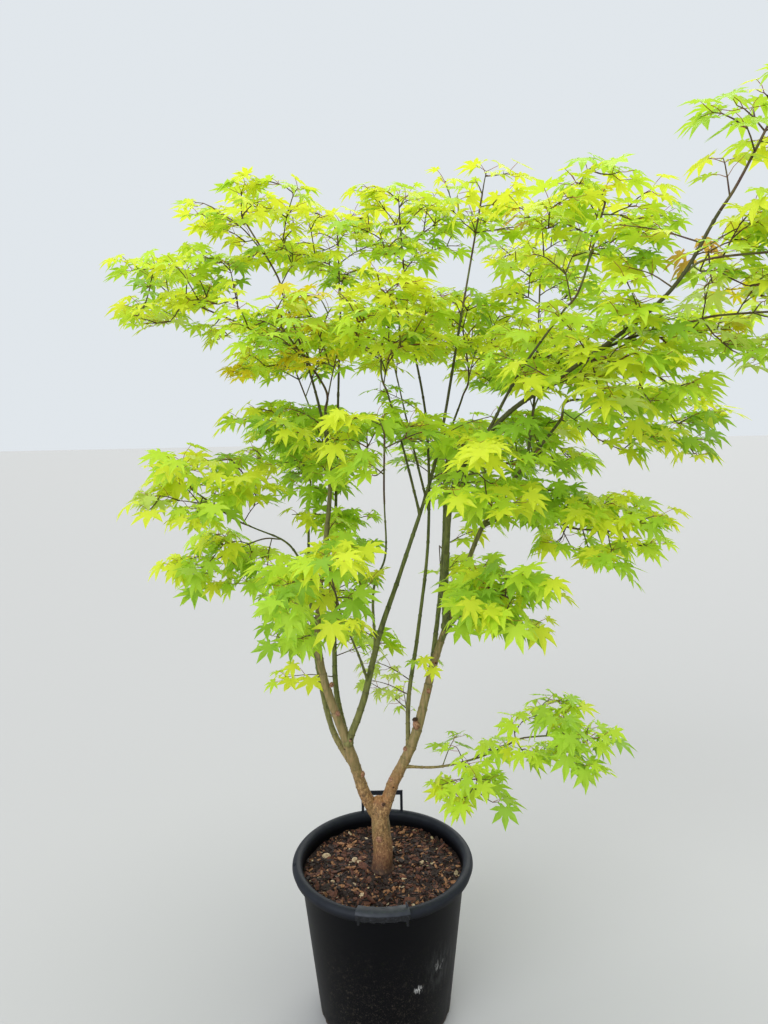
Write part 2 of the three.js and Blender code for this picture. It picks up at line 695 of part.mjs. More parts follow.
/** The curve of a mass's own stem, from its bough into the middle of its space. */
function makeStem(mass, limbs) {
  const bough = limbs.get(mass.from);
  const along = bough.curve.getTangent(mass.at);
  const root = bough.curve.getPoint(mass.at);
  const atTip = mass.at === 1;
  if (atTip) root.addScaledVector(along, GAP);
  const toMiddle = mass.middle.clone().sub(root);
  const lead = along.clone();
  if (!atTip) lead.addScaledVector(toMiddle.clone().normalize(), STEM_TURN).normalize();
  const leadLength = Math.min(STEM_LEAD, toMiddle.length() * STEM_LEAD_SHARE);
  const bend = root.clone().addScaledVector(lead, leadLength);
  const outward = toMiddle.clone().setZ(toMiddle.z * STEM_LEVEL).normalize();
  const end = mass.middle.clone().addScaledVector(outward, mass.radius * STEM_BEYOND);
  const curve = new THREE.CatmullRomCurve3([root, bend, end], false, 'catmullrom');
  const side = Math.min(SIDE_STEM_RADIUS, bough.radiusAt(mass.at) * SIDE_STEM_SHARE);
  const thick = atTip ? bough.radiusAt(1) : side;
  return {
    name: mass.name,
    curve,
    length: curve.getLength(),
    radiusAt: (share) => thick + (STEM_END_RADIUS - thick) * share,
  };
}

/** True where a straight piece stays in the mass's space and clear of every limb. */
function isFree(mass, world, start, end, radius) {
  const margin = SPACE_MARGIN + radius;
  if (depthInSpace(mass, world.masses, start) < margin) return false;
  if (depthInSpace(mass, world.masses, end) < margin) return false;
  return world.pieces.every((piece) => piece.owner === mass.name
    || pieceDistance(start, end, piece.start, piece.end) > piece.radius + radius + CLEARANCE);
}

/** The outline of one leaf of a spray, from lobe to lobe, as points around the hub. */
function leafPoints(frame, turn, length) {
  return LEAF_LOBES.map(([angle, reach, rise]) => {
    const way = THREE.MathUtils.degToRad(turn + angle);
    return aroundHub(frame, way, reach * length).addScaledVector(frame.upper, rise * length);
  });
}

/** A point in a spray's plane, at an angle from its forward direction. */
function aroundHub(frame, way, reach) {
  return frame.hub.clone()
    .addScaledVector(frame.forward, Math.cos(way) * reach)
    .addScaledVector(frame.side, Math.sin(way) * reach);
}

/** True where a straight piece passes through a triangle. */
function piercesTriangle(start, end, triangle) {
  const ray = new THREE.Ray(start, end.clone().sub(start).normalize());
  const hit = ray.intersectTriangle(...triangle, false, new THREE.Vector3());
  return hit !== null && hit.distanceTo(start) < start.distanceTo(end);
}

/** True where an edge of one triangle passes through the other. */
function trianglesCross(first, second) {
  const edgesOf = ([a, b, c]) => [[a, b], [b, c], [c, a]];
  return edgesOf(first).some(([a, b]) => piercesTriangle(a, b, second))
    || edgesOf(second).some(([a, b]) => piercesTriangle(a, b, first));
}

/** True where a leaf crosses one that has grown already. */
function crossesLeaves(triangles, grown) {
  const box = new THREE.Box3().setFromPoints(triangles.flat());
  const near = grown.filter((leaf) => leaf.box.intersectsBox(box));
  return near.some((leaf) => leaf.triangles.some((old) => (
    triangles.some((fresh) => trianglesCross(fresh, old)))));
}

/** True where a straight piece passes through a leaf that has grown already. */
function piercesLeaves(start, end, grown) {
  return grown.some((leaf) => (
    leaf.triangles.some((triangle) => piercesTriangle(start, end, triangle))));
}

/** The surface of a leaf as triangles from the hub, for crossing tests. */
function leafTriangles(hub, points) {
  return points.slice(1).map((point, index) => [hub, points[index], point]);
}

/** A spray's plane at a twig's tip: nearly level, leaning a little with the twig. */
function sprayFrame(hub, along, draw) {
  const lean = [(draw() - 0.5) * SPRAY_TILT, (draw() - 0.5) * SPRAY_TILT];
  const upper = new THREE.Vector3(...lean, 1).normalize();
  const forward = along.clone().addScaledVector(upper, -along.dot(upper)).normalize();
  return { hub, upper, forward, side: new THREE.Vector3().crossVectors(upper, forward) };
}

/** The rim of a spray: each free leaf of the fan, and the valley after it. */
function growSpray(mass, world, frame, grown, draw) {
  const rim = [];
  const leaves = [];
  const halfStep = 180 / LEAF_FAN.length;
  for (const turn of LEAF_FAN) {
    const scale = (Math.abs(turn) > 90 ? BACK_LEAF : 1) * (1 + (draw() - 0.5) * LEAF_SPREAD);
    const length = LEAF_LENGTH * scale;
    const points = leafPoints(frame, turn + (draw() - 0.5) * LEAF_TURN, length);
    const triangles = leafTriangles(frame.hub, points);
    const free = points.every((point, index) => isFree(mass, world, frame.hub, point, 0)
      && (index === 0 || isFree(mass, world, points[index - 1], point, 0)));
    const pierced = grown.wood.some(([start, end]) => (
      triangles.some((triangle) => piercesTriangle(start, end, triangle))));
    if (free && !pierced && !crossesLeaves(triangles, grown.leaves)) {
      rim.push(...points);
      leaves.push({ triangles, box: new THREE.Box3().setFromPoints([frame.hub, ...points]) });
    }
    const valley = THREE.MathUtils.degToRad(turn + halfStep);
    rim.push(aroundHub(frame, valley, VALLEY_REACH * LEAF_LENGTH)
      .addScaledVector(frame.upper, VALLEY_RISE * LEAF_LENGTH));
  }
  return { frame, rim, leaves };
}

/** Three corners across a direction, for one ring of a twig. */
function twigRing(middle, along, upper, radius) {
  const across = new THREE.Vector3().crossVectors(upper, along).normalize();
  const third = new THREE.Vector3().crossVectors(along, across);
  return [0, 1, 2].map((corner) => {
    const way = (2 * Math.PI * corner) / 3;
    return middle.clone().addScaledVector(third, Math.cos(way) * radius)
      .addScaledVector(across, Math.sin(way) * radius);
  });
}

/** The three rings of a twig's corners: at its root, at its elbow and under its leaves. */
function twigRings(twig) {
  const { frame } = twig.spray;
  const along = twig.elbow.clone().sub(twig.node.point).normalize();
  const onward = twig.tip.clone().sub(twig.elbow).normalize();
  const between = along.clone().add(onward).normalize();
  const under = { ...frame, hub: frame.hub.clone().addScaledVector(frame.upper, -HUB_KEEL) };
  const tipRadius = TWIG_RADIUS * (1 - TWIG_TAPER);
  return [
    twigRing(twig.node.point, along, frame.upper, TWIG_RADIUS),
    twigRing(twig.elbow, between, frame.upper, (TWIG_RADIUS + tipRadius) / 2),
    [0, 1, 2].map((corner) => aroundHub(under, Math.PI - (2 * Math.PI * corner) / 3, tipRadius)),
  ];
}

/** The corner of the last ring, 0 to 2, that a point of the rim is nearest to in angle. */
function ringCornerFor(frame, point) {
  const away = point.clone().sub(frame.hub);
  const angle = Math.atan2(away.dot(frame.side), away.dot(frame.forward));
  const turned = (Math.PI - angle + 4 * Math.PI) % (2 * Math.PI);
  return Math.round((turned * 3) / (2 * Math.PI)) % 3;
}

/** A three-sided twig whose last ring spreads into the thin fan of its leaves, one closed solid. */
function twigSolid(twig) {
  const { frame, rim } = twig.spray;
  const corners = twigRings(twig).flat();
  const points = [...corners, ...rim, frame.hub.clone().addScaledVector(frame.upper, HUB_CROWN)];
  const faces = [[0, 1, 2]];
  for (const ring of [0, 3]) {
    for (let corner = 0; corner < 3; corner += 1) {
      const a = ring + corner;
      const b = ring + ((corner + 1) % 3);
      faces.push([a, a + 3, b], [b, a + 3, b + 3]);
    }
  }
  const first = corners.length;
  const crown = first + rim.length;
  const nearest = rim.map((point) => first - 3 + ringCornerFor(frame, point));
  for (let corner = 0; corner < rim.length; corner += 1) {
    const next = (corner + 1) % rim.length;
    const [here, there] = [nearest[corner], nearest[next]];
    faces.push([first + corner, first + next, crown], [first + next, first + corner, here]);
    if (there !== here) faces.push([first + next, here, there]);
  }
  const geometry = new THREE.BufferGeometry().setFromPoints(points);
  geometry.setIndex(faces.flat());
  return solidOf(geometry);
}

/** The grown point that a new twig starts from: near its tip and not far along from the bough. */
function nearestNode(nodes, tip) {
  const cost = (node) => node.point.distanceTo(tip) + PATH_WEIGHT * node.path;
  return nodes.reduce((first, other) => (cost(other) < cost(first) ? other : first));
}

/** The best twig and spray towards a target, tried ever nearer to the middle of the space. */
function findTwig(mass, world, grown, target, draw) {
  let best = null;
  for (const share of TIP_TRIES) {
    for (const lift of LIFT_TRIES) {
      const tip = mass.middle.clone().lerp(target, share);
      tip.z += lift;
      const node = nearestNode(grown.nodes, tip);
      const reach = node.point.distanceTo(tip);
      if (reach < SHORTEST_TWIG) continue;
      const elbow = node.point.clone().lerp(tip, ELBOW_SHARE);
      elbow.z = Math.min(elbow.z + ELBOW_LIFT * reach, tip.z - TWIG_RISE * reach);
      const lines = [[node.point, elbow], [elbow, tip]];
      if (!lines.every(([a, b]) => isFree(mass, world, a, b, TWIG_RADIUS))) continue;
      if (lines.some(([a, b]) => piercesLeaves(a, b, grown.leaves))) continue;
      const along = tip.clone().sub(elbow).setZ(0).normalize();
      const spray = growSpray(mass, world, sprayFrame(tip, along, draw), grown, draw);
      if (best && spray.leaves.length <= best.spray.leaves.length) continue;
      best = { node, tip, elbow, spray, reach };
    }
  }
  return best;
}

/** The points of a mass's stem that twigs may grow from, with their way along it. */
function stemNodes(stem) {
  const nodes = [];
  for (let step = 1; step <= STEM_NODES; step += 1) {
    const share = (step / STEM_NODES) * LAST_NODE;
    const path = share * stem.length;
    if (path >= STEM_BARE_LENGTH) nodes.push({ point: stem.curve.getPoint(share), path });
  }
  return nodes;
}

/** Grows one mass: its stem, then a twig to each tip from the best point of what has grown. */
function growMass(mass, world) {
  const draw = seededDraws(mass.seed * SEED_STEP + SEED_START);
  const stem = world.stems.get(mass.name);
  const stemTube = tube(stem.curve, 0, 1, stem.radiusAt, STEM_SIDES, STEM_RINGS);
  let solid = solidOf(stemTube);
  if (mass.at < 1) solid = solid.subtract(world.swollen.get(mass.from));
  const wood = limbPieces(stem).map(({ start, end }) => [start, end]);
  const grown = { nodes: stemNodes(stem), leaves: [], wood };
  const root = stem.curve.getPoint(0);
  const targets = tipPoints(mass, draw).sort((a, b) => a.distanceTo(root) - b.distanceTo(root));
  for (const target of targets) {
    const twig = findTwig(mass, world, grown, target, draw);
    if (!twig || twig.spray.leaves.length < FEWEST_LEAVES) continue;
    const joined = solid.add(twigSolid(twig));
    if (!isClosed(wholeBody(joined))) continue;
    solid = joined;
    grown.leaves.push(...twig.spray.leaves);
    grown.wood.push([twig.node.point, twig.elbow], [twig.elbow, twig.tip]);
    const path = twig.node.path + ELBOW_SHARE * twig.reach;
    grown.nodes.push({ point: twig.elbow, path });
  }
  addPart(mass.name, wholeBody(solid), LEAF_FINISH);
}

function buildTree() {
  const trunk = { name: 'trunk', curve: trunkCurve() };
  const limbs = new Map([['trunk', trunk]]);
  for (const entry of LIMBS) limbs.set(entry.name, makeLimb(entry, limbs));
  const boughs = LIMBS.map((entry) => limbs.get(entry.name));
  const trunkSolid = buildTrunk(trunk, boughs.filter((limb) => limb.cut > 0));
  const swollen = buildBoughs(boughs, trunkSolid);

  const masses = MASSES.map((mass, index) => ({
    ...mass,
    name: `foliage_${mass.name}`,
    middle: new THREE.Vector3(...mass.middle),
    seed: index + 1,
  }));
  const stems = new Map(masses.map((mass) => [mass.name, makeStem(mass, limbs)]));
  const pieces = [
    ...boughs.flatMap((limb) => limbPieces(limb)),
    ...[...stems.values()].flatMap((stem) => limbPieces(stem)),
  ];
  const world = { masses, stems, pieces, swollen };
  for (const mass of masses) growMass(mass, world);
}

buildPot();
buildSoil();
buildRearHandle();
buildFrontHandle();
buildTree();

export default tree;
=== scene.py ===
"""Looks of a young maple with tiers of palmate leaves in a round black nursery container.

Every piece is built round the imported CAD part, in metres, in its frame: +Z is up, the origin is
the middle of the container's flat underside, and -Y is the side seen in front.
"""

from __future__ import annotations

import json
import logging
import math
from contextlib import contextmanager
from dataclasses import dataclass, field
from enum import Enum
from typing import Callable, Iterable, Iterator, Sequence

import bpy
import numpy as np
from bpy.types import Material, Modifier, Node, NodeSocket, NodeTree, Object
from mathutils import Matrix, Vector

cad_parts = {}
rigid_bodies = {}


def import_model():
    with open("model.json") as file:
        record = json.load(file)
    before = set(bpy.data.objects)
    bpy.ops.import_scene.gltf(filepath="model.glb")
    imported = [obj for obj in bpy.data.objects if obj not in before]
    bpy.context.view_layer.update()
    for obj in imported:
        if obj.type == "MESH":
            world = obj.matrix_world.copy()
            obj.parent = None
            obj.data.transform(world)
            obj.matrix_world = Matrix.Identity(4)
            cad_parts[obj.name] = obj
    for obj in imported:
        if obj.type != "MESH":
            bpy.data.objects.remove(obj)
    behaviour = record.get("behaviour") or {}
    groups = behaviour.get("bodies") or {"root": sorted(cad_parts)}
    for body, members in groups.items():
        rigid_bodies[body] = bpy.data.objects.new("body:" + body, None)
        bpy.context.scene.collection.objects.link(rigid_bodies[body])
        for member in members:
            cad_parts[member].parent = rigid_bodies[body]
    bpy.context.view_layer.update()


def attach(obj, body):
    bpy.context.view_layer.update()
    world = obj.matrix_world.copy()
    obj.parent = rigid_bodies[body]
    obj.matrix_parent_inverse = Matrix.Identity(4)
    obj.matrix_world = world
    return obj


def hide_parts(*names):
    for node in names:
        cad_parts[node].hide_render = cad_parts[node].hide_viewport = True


LOG = logging.getLogger("potted_maple")
MM = 0.001
ROOT = "root"
BUD_SCAR = "bud_scar"

# A place or a direction
Point = tuple[float, float, float]

# A mesh as its places, mostly in millimetres, and its triangles
Shape = tuple[np.ndarray, np.ndarray]

# Container, in millimetres, as in the part's source
RIM_RADIUS = 220
RIM_TOP = 392
RIM_ROLL = 12
LIP_DROP = 34
BODY_TOP_RADIUS = 201
BASE_RADIUS = 162
BASE_CHAMFER = 5
WALL = 3.2
FLOOR = 5
DRAIN_COUNT = 8
DRAIN_WIDTH = 22
DRAIN_HEIGHT = 12
DRAIN_DEPTH = 26
STRAP_SPAN = 112
STRAP_WIDTH = 12
STRAP_THICK = 4
STRAP_RISE = 58
SOIL_LEVEL = 357
GAP = 0.35

# Trunk and limbs, as in the part's source
TRUNK_TOP = 512
TRUNK_RADII = (26.5, 21.5)
FLARE = 5
FLARE_HEIGHT = 16
TAPER_POWER = 0.8
PIECE_LENGTH = 40

# Stems and twigs of the masses, as in the part's source, with finer tips
FLATNESS = 0.66
GOLDEN_ANGLE = math.pi * (3 - math.sqrt(5))
TIER_HEIGHTS = (0.55, -0.15, 0.2, -0.5)
TIER_REACH = 0.85
NEAREST_TIP = 0.15
PATH_WEIGHT = 0.45
STEM_END_RADIUS = 2
STEM_BARE_LENGTH = 40
STEM_LEAD = 55
STEM_LEAD_SHARE = 0.35
STEM_TURN = 1.6
STEM_LEVEL = 0.4
STEM_BEYOND = 0.22
SIDE_STEM_RADIUS = 3.4
SIDE_STEM_SHARE = 0.7
STEM_NODES = 8
LAST_NODE = 0.97
SHORTEST_TWIG = 12
ELBOW_SHARE = 0.6
ELBOW_LIFT = 0.1
TIP_TRIES = (1, 0.84, 0.68, 0.52, 0.36)
LIFT_TRIES = (0, 26, -26)
SEED_STEP = 7919
SEED_START = 17
DRAW_FACTOR = 1664525
DRAW_STEP = 1013904223
DRAW_RANGE = 2**32
FINE_EDGE_INSET = 48
FINE_TIER_SPREAD = 0.42
FINE_CLEARANCE = 2.0

# Large primes that scatter the noise's grid: three for its axes, its seed's and one to mix them
NOISE_PRIMES = (73856093, 19349663, 83492791, 2654435761, 1274126177)


class Palette(Enum):
    """How the leaf colours are dealt out over a mass: the share of each tint, in their order. Besides the
    leaves' own tones, SUNLIT paints light with the sunlit tint and SHADED paints shade with deeper greens.
    """

    SUNLIT = (0.50, 0.34, 0.12, 0.04, 0.0, 0.0, 0.0)
    BRIGHT = (0.20, 0.42, 0.28, 0.08, 0.02, 0.0, 0.0)
    LIME = (0.04, 0.44, 0.38, 0.12, 0.02, 0.0, 0.0)
    SHADED = (0.0, 0.34, 0.42, 0.24, 0.0, 0.0, 0.0)
    AMBER = (0.34, 0.32, 0.18, 0.04, 0.0, 0.12, 0.0)
    BLUSHED = (0.30, 0.36, 0.20, 0.04, 0.06, 0.03, 0.01)
    PALE = (0.22, 0.26, 0.16, 0.04, 0.30, 0.02, 0.0)


@dataclass(frozen=True)
class LimbPlan:
    """One limb: where it leaves its parent, its radii and the points it bends through, in mm."""

    name: str
    parent: str
    at: float
    thick: float
    thin: float
    through: tuple[Point, ...]
    cut: float = 0.0


@dataclass(frozen=True)
class MassPlan:
    """One mass of foliage: the limb its stem leaves, the space it keeps to, in mm, and how thin it is."""

    name: str
    parent: str
    at: float
    middle: Point
    radius: float
    palette: Palette
    spacing: float = 1.0

    @property
    def node(self) -> str:
        """The name of the CAD node that the mass stands for."""
        return f"foliage_{self.name}"


LIMBS = (
    LimbPlan("left_bough", "trunk", 0.86, 17.5, 4.5, (
        (-40, -2, 556), (-72, -14, 672), (-126, -32, 856), (-134, -48, 1010),
        (-100, -30, 1285), (-104, -30, 1470),
    ), 0.09),
    LimbPlan("right_bough", "trunk", 0.86, 17.5, 4.5, (
        (28, 0, 572), (84, 9, 690), (134, 30, 866), (186, 40, 1012),
        (262, 30, 1215), (420, -14, 1440),
    ), 0.09),
    LimbPlan("outer_left_stem", "left_bough", 0.257, 9, 3.6, (
        (-118, 34, 712), (-158, 88, 905), (-168, 130, 1090), (-166, 150, 1262),
    )),
    LimbPlan("back_left_stem", "left_bough", 0.34, 8.5, 3.6, (
        (-102, 32, 792), (-106, 66, 930), (-96, 108, 1240), (-76, 142, 1665),
    )),
    LimbPlan("front_left_stem", "left_bough", 0.35, 9.5, 3.6, (
        (-36, -34, 800), (6, -66, 972), (60, -80, 1130), (142, -28, 1370),
        (204, 0, 1690),
    )),
    LimbPlan("top_left_bough", "left_bough", 0.93, 4.2, 3.2, ((-136, 14, 1545), (-198, 48, 1735))),
    LimbPlan("left_side_bough", "outer_left_stem", 0.7, 4.4, 3.2, ((-212, 96, 1150), (-292, 40, 1205))),
    LimbPlan("front_low_bough", "front_left_stem", 0.262, 4.4, 3.2, ((-40, -104, 930), (-62, -190, 1025))),
    LimbPlan("front_mid_bough", "front_left_stem", 0.353, 4.2, 3, (
        (-6, -90, 1075), (22, -134, 1165), (22, -176, 1280),
    )),
    LimbPlan("front_centre_bough", "front_left_stem", 0.7, 3.8, 3, ((66, -92, 1385), (34, -112, 1505))),
    LimbPlan("long_bough", "right_bough", 0.6, 8.5, 3.8, (
        (160, -18, 1100), (176, -84, 1310), (268, -150, 1448), (368, -250, 1530),
        (500, -402, 1650), (560, -466, 1772),
    )),
    LimbPlan("inner_right_stem", "right_bough", 0.285, 6, 3.4, (
        (72, 42, 775), (98, 72, 930), (128, 104, 1160), (130, 140, 1430),
        (96, 150, 1648),
    )),
    LimbPlan("back_right_stem", "right_bough", 0.47, 6.5, 3.4, (
        (152, 84, 1000), (168, 122, 1150), (184, 158, 1380), (222, 176, 1500),
    )),
    LimbPlan("right_low_bough", "right_bough", 0.82, 4.8, 3.2, ((338, -14, 1236), (412, -50, 1212))),
    LimbPlan("front_right_bough", "right_bough", 0.56, 4.6, 3.2, ((196, -52, 1020), (232, -128, 1072))),
    LimbPlan("low_branch", "right_bough", 0.24, 4.6, 2.8, (
        (136, -34, 634), (226, -54, 664), (296, -54, 694),
    )),
    LimbPlan("back_left_bough", "back_left_stem", 0.5, 5, 3.2, ((-124, 200, 1140), (-122, 296, 1262))),
    LimbPlan("back_right_bough", "back_right_stem", 0.2, 5, 3.2, ((172, 216, 1110), (184, 306, 1240))),
    LimbPlan("back_high_bough", "inner_right_stem", 0.65, 4.2, 3.2, ((94, 232, 1400), (66, 300, 1540))),
    LimbPlan("right_high_bough", "right_bough", 0.93, 4.4, 3.2, ((372, 34, 1500), (386, 78, 1612))),
    LimbPlan("front_high_bough", "long_bough", 0.45, 4.6, 3.2, ((298, -180, 1540), (372, -226, 1652))),
    LimbPlan("far_right_bough", "long_bough", 0.73, 4, 3.2, ((500, -330, 1600), (576, -330, 1616))),
)
# The palettes paint light too: masses on top and in the middle are SUNLIT, those at the back and low down
# SHADED.
MASSES = (
    MassPlan("top_left", "top_left_bough", 1, (-262, 70, 1892), 208, Palette.SUNLIT),
    MassPlan("left_shoulder", "top_left_bough", 0.6, (-412, -14, 1730), 205, Palette.BRIGHT),
    MassPlan("top_back_left", "back_left_stem", 1, (-78, 190, 1872), 205, Palette.SUNLIT),
    MassPlan("left_front_upper", "left_bough", 1, (-164, -120, 1628), 200, Palette.AMBER, 0.92),
    MassPlan("back_left_upper", "back_left_stem", 0.78, (-214, 292, 1634), 200, Palette.BRIGHT),
    MassPlan("top_centre", "inner_right_stem", 1, (74, 40, 1874), 195, Palette.SUNLIT),
    MassPlan("front_centre", "front_centre_bough", 1, (34, -132, 1650), 190, Palette.SUNLIT, 0.8),
    MassPlan("umbrella", "front_left_stem", 1, (236, -6, 1904), 170, Palette.SUNLIT, 1.25),
    MassPlan("centre_back", "back_right_stem", 1, (218, 172, 1666), 190, Palette.SUNLIT, 0.8),
    MassPlan("back_upper", "back_high_bough", 1, (46, 376, 1672), 200, Palette.BRIGHT),
    MassPlan("top_right_back", "right_high_bough", 1, (396, 104, 1784), 190, Palette.SUNLIT),
    MassPlan("back_right_upper", "right_high_bough", 0.55, (350, 330, 1600), 195, Palette.BRIGHT),
    MassPlan("top_right_front", "front_high_bough", 1, (414, -262, 1812), 200, Palette.BLUSHED),
    MassPlan("right_centre", "right_high_bough", 0.3, (404, -70, 1582), 185, Palette.SUNLIT, 0.8),
    MassPlan("right_front", "long_bough", 0.7, (470, -330, 1530), 175, Palette.BRIGHT),
    MassPlan("far_right_top", "long_bough", 0.88, (640, -452, 1708), 175, Palette.BLUSHED),
    MassPlan("top_sprig", "long_bough", 1, (606, -492, 1892), 132, Palette.BRIGHT, 1.15),
    MassPlan("far_right", "far_right_bough", 1, (712, -300, 1634), 205, Palette.PALE),
    MassPlan("left_mid", "left_side_bough", 1, (-374, -66, 1304), 195, Palette.LIME, 1.05),
    MassPlan("left_low", "left_side_bough", 0.62, (-378, 96, 1112), 170, Palette.LIME),
    MassPlan("left_mid_back", "outer_left_stem", 1, (-216, 144, 1414), 184, Palette.LIME),
    MassPlan("front_mid", "front_mid_bough", 1, (24, -222, 1404), 170, Palette.LIME, 1.08),
    MassPlan("front_right_mid", "long_bough", 0.32, (212, -226, 1344), 170, Palette.LIME, 1.08),
    MassPlan("right_mid_back", "right_bough", 0.9, (424, 128, 1380), 180, Palette.LIME),
    MassPlan("right_low", "right_low_bough", 1, (506, -76, 1198), 180, Palette.LIME),
    MassPlan("right_mid_far", "right_bough", 1, (618, -60, 1444), 195, Palette.LIME, 1.08),
    MassPlan("back_left_mid", "back_left_bough", 1, (-142, 372, 1368), 190, Palette.SHADED),
    MassPlan("back_right_mid", "back_right_bough", 1, (200, 384, 1352), 190, Palette.SHADED),
    MassPlan("front_low", "front_low_bough", 1, (-76, -292, 1150), 195, Palette.LIME, 1.12),
    MassPlan("front_right_low", "front_right_bough", 1, (262, -212, 1088), 165, Palette.LIME, 1.12),
    MassPlan("back_low", "back_right_bough", 0.5, (92, 300, 1040), 150, Palette.SHADED, 1.15),
    MassPlan("low_right", "low_branch", 1, (420, -56, 716), 165, Palette.SHADED, 0.98),
    MassPlan("low_front", "low_branch", 0.5, (204, -112, 632), 130, Palette.SHADED, 1.3),
)


class Draws:
    """Repeatable draws between 0 and 1, by the rule of the part's source."""

    def __init__(self, seed: int) -> None:
        """Starts from a whole-number seed."""
        self.state = seed

    def next(self) -> float:
        """The next draw."""
        self.state = (self.state * DRAW_FACTOR + DRAW_STEP) % DRAW_RANGE
        return self.state / DRAW_RANGE

    def between(self, low: float, high: float) -> float:
        """A draw between two limits."""
        return low + (high - low) * self.next()

    def pick(self, shares: Sequence[float]) -> int:
        """The place in a list of shares that a draw falls on.

        Args:
            shares: how likely each place is.

        Returns:
            The place that the draw falls on.
        """
        left = self.next() * sum(shares)
        for index, share in enumerate(shares):
            left -= share
            if left < 0:
                return index
        return 0


class Spline:
    """A uniform Catmull-Rom curve through points, as the part's source draws its limbs."""

    def __init__(self, points: Iterable[Sequence[float]]) -> None:
        """Takes the points that the curve passes through."""
        inner = np.array([tuple(point) for point in points], float)
        before = 2 * inner[0] - inner[1]
        after = 2 * inner[-1] - inner[-2]
        self.spans = len(inner) - 1
        self.points = np.vstack([before, inner, after])

    def at(self, shares: float | np.ndarray) -> np.ndarray:
        """Points at shares of the curve, one row each.

        Args:
            shares: one or more shares, from 0 to 1.

        Returns:
            The points in millimetres.
        """
        way = np.clip(np.atleast_1d(np.asarray(shares, float)), 0, 1) * self.spans
        span = np.minimum(way.astype(int), self.spans - 1)
        w = (way - span)[:, None]
        p0, p1, p2, p3 = (self.points[span + step] for step in range(4))
        start = (p2 - p0) / 2
        end = (p3 - p1) / 2
        curve = (2 * p1 - 2 * p2 + start + end) * w**3
        return curve + (-3 * p1 + 3 * p2 - 2 * start - end) * w**2 + start * w + p1

    def along(self, shares: float | np.ndarray) -> np.ndarray:
        """Unit directions at shares of the curve, one row each."""
        where = np.atleast_1d(np.asarray(shares, float))
        step = self.at(np.minimum(where + 1e-4, 1)) - self.at(np.maximum(where - 1e-4, 0))
        return step / np.linalg.norm(step, axis=1, keepdims=True)

    def length(self) -> float:
        """The curve's length."""
        return float(np.linalg.norm(np.diff(self.at(np.linspace(0, 1, 201)), axis=0), axis=1).sum())


@dataclass
class Limb:
    """A tapering limb or stem round a curve, in millimetres."""

    name: str
    curve: Spline
    thick: float
    thin: float
    power: float = TAPER_POWER
    cut: float = 0.0
    length: float = field(init=False)

    def __post_init__(self) -> None:
        """Measures the curve."""
        self.length = self.curve.length()

    def radius(self, share: float | np.ndarray) -> float | np.ndarray:
        """The radius at a share of the length."""
        return self.thick + (self.thin - self.thick) * share**self.power


def unit(vectors: np.ndarray) -> np.ndarray:
    """Rows of vectors brought to length one."""
    return vectors / np.maximum(np.linalg.norm(vectors, axis=-1, keepdims=True), 1e-12)


def value_noise(points: np.ndarray, seed: int) -> np.ndarray:
    """Smooth noise between -1 and 1 at points, from draws on a grid of whole numbers.

    Args:
        points: one row for each point, in grid steps.
        seed: which of many noises.

    Returns:
        One value for each point.
    """
    cell = np.floor(points).astype(np.int64)
    inside = points - cell
    ease = inside * inside * (3 - 2 * inside)
    total = np.zeros(len(points))
    prime_x, prime_y, prime_z, prime_seed, prime_mix = NOISE_PRIMES
    for corner in range(8):
        step = np.array([corner & 1, (corner >> 1) & 1, (corner >> 2) & 1])
        x, y, z = (cell + step).T
        mixed = (x * prime_x) ^ (y * prime_y) ^ (z * prime_z) ^ (seed * prime_seed)
        mixed = (mixed ^ (mixed >> 13)) * prime_mix
        value = ((mixed ^ (mixed >> 16)) & 0xFFFF) / 32767.5 - 1
        weight = np.prod(np.where(step == 1, ease, 1 - ease), axis=1)
        total += value * weight
    return total


def deselect_all() -> None:
    """Leaves nothing selected and no object active."""
    for thing in bpy.context.selected_objects:
        thing.select_set(False)
    bpy.context.view_layer.objects.active = None


def activate(piece: Object) -> None:
    """Makes one piece the only one selected, and active."""
    deselect_all()
    piece.select_set(True)
    bpy.context.view_layer.objects.active = piece


def fresh(name: str) -> Object:
    """The primitive that was just added, under a name of its own."""
    piece = bpy.context.active_object
    piece.name = name
    piece.data.name = name
    return piece


def begin(name: str, operator: Callable[..., object], **options: object) -> Object:
    """A new primitive, with nothing else selected.

    Args:
        name: its name.
        operator: the operator that adds it.
        options: what the operator is told.

    Returns:
        The new object.
    """
    deselect_all()
    operator(**options)
    return fresh(name)


@contextmanager
def editing() -> Iterator[None]:
    """Edit mode on the active piece while a block of lines runs."""
    bpy.ops.object.mode_set(mode="EDIT")
    yield
    bpy.ops.object.mode_set(mode="OBJECT")


def settle(piece: Object) -> Object:
    """Applies a piece's modifiers and its place, so that its object sits at the origin.

    Args:
        piece: the object.

    Returns:
        The same object.
    """
    activate(piece)
    for modifier in list(piece.modifiers):
        bpy.ops.object.modifier_apply(modifier=modifier.name)
    bpy.ops.object.transform_apply(location=True, rotation=True, scale=True)
    return piece


def join(name: str, pieces: Sequence[Object]) -> Object:
    """Joins pieces into one with a name.

    Args:
        name: the whole's name.
        pieces: the objects, of which the first one is kept.

    Returns:
        The whole, active.
    """
    deselect_all()
    for piece in pieces:
        piece.select_set(True)
    bpy.context.view_layer.objects.active = pieces[0]
    if len(pieces) > 1:
        bpy.ops.object.join()
    return fresh(name)


def outward(piece: Object) -> None:
    """Merges doubles and turns every face outwards."""
    activate(piece)
    with editing():
        bpy.ops.mesh.select_all(action="SELECT")
        bpy.ops.mesh.remove_doubles(threshold=1e-6)
        bpy.ops.mesh.normals_make_consistent(inside=False)


def gridded_block(name: str, cuts: int) -> Object:
    """A unit block whose edges are cut so many times, ready to be bent."""
    block = begin(name, bpy.ops.mesh.primitive_cube_add, size=1)
    with editing():
        bpy.ops.mesh.subdivide(number_cuts=cuts)
    return block


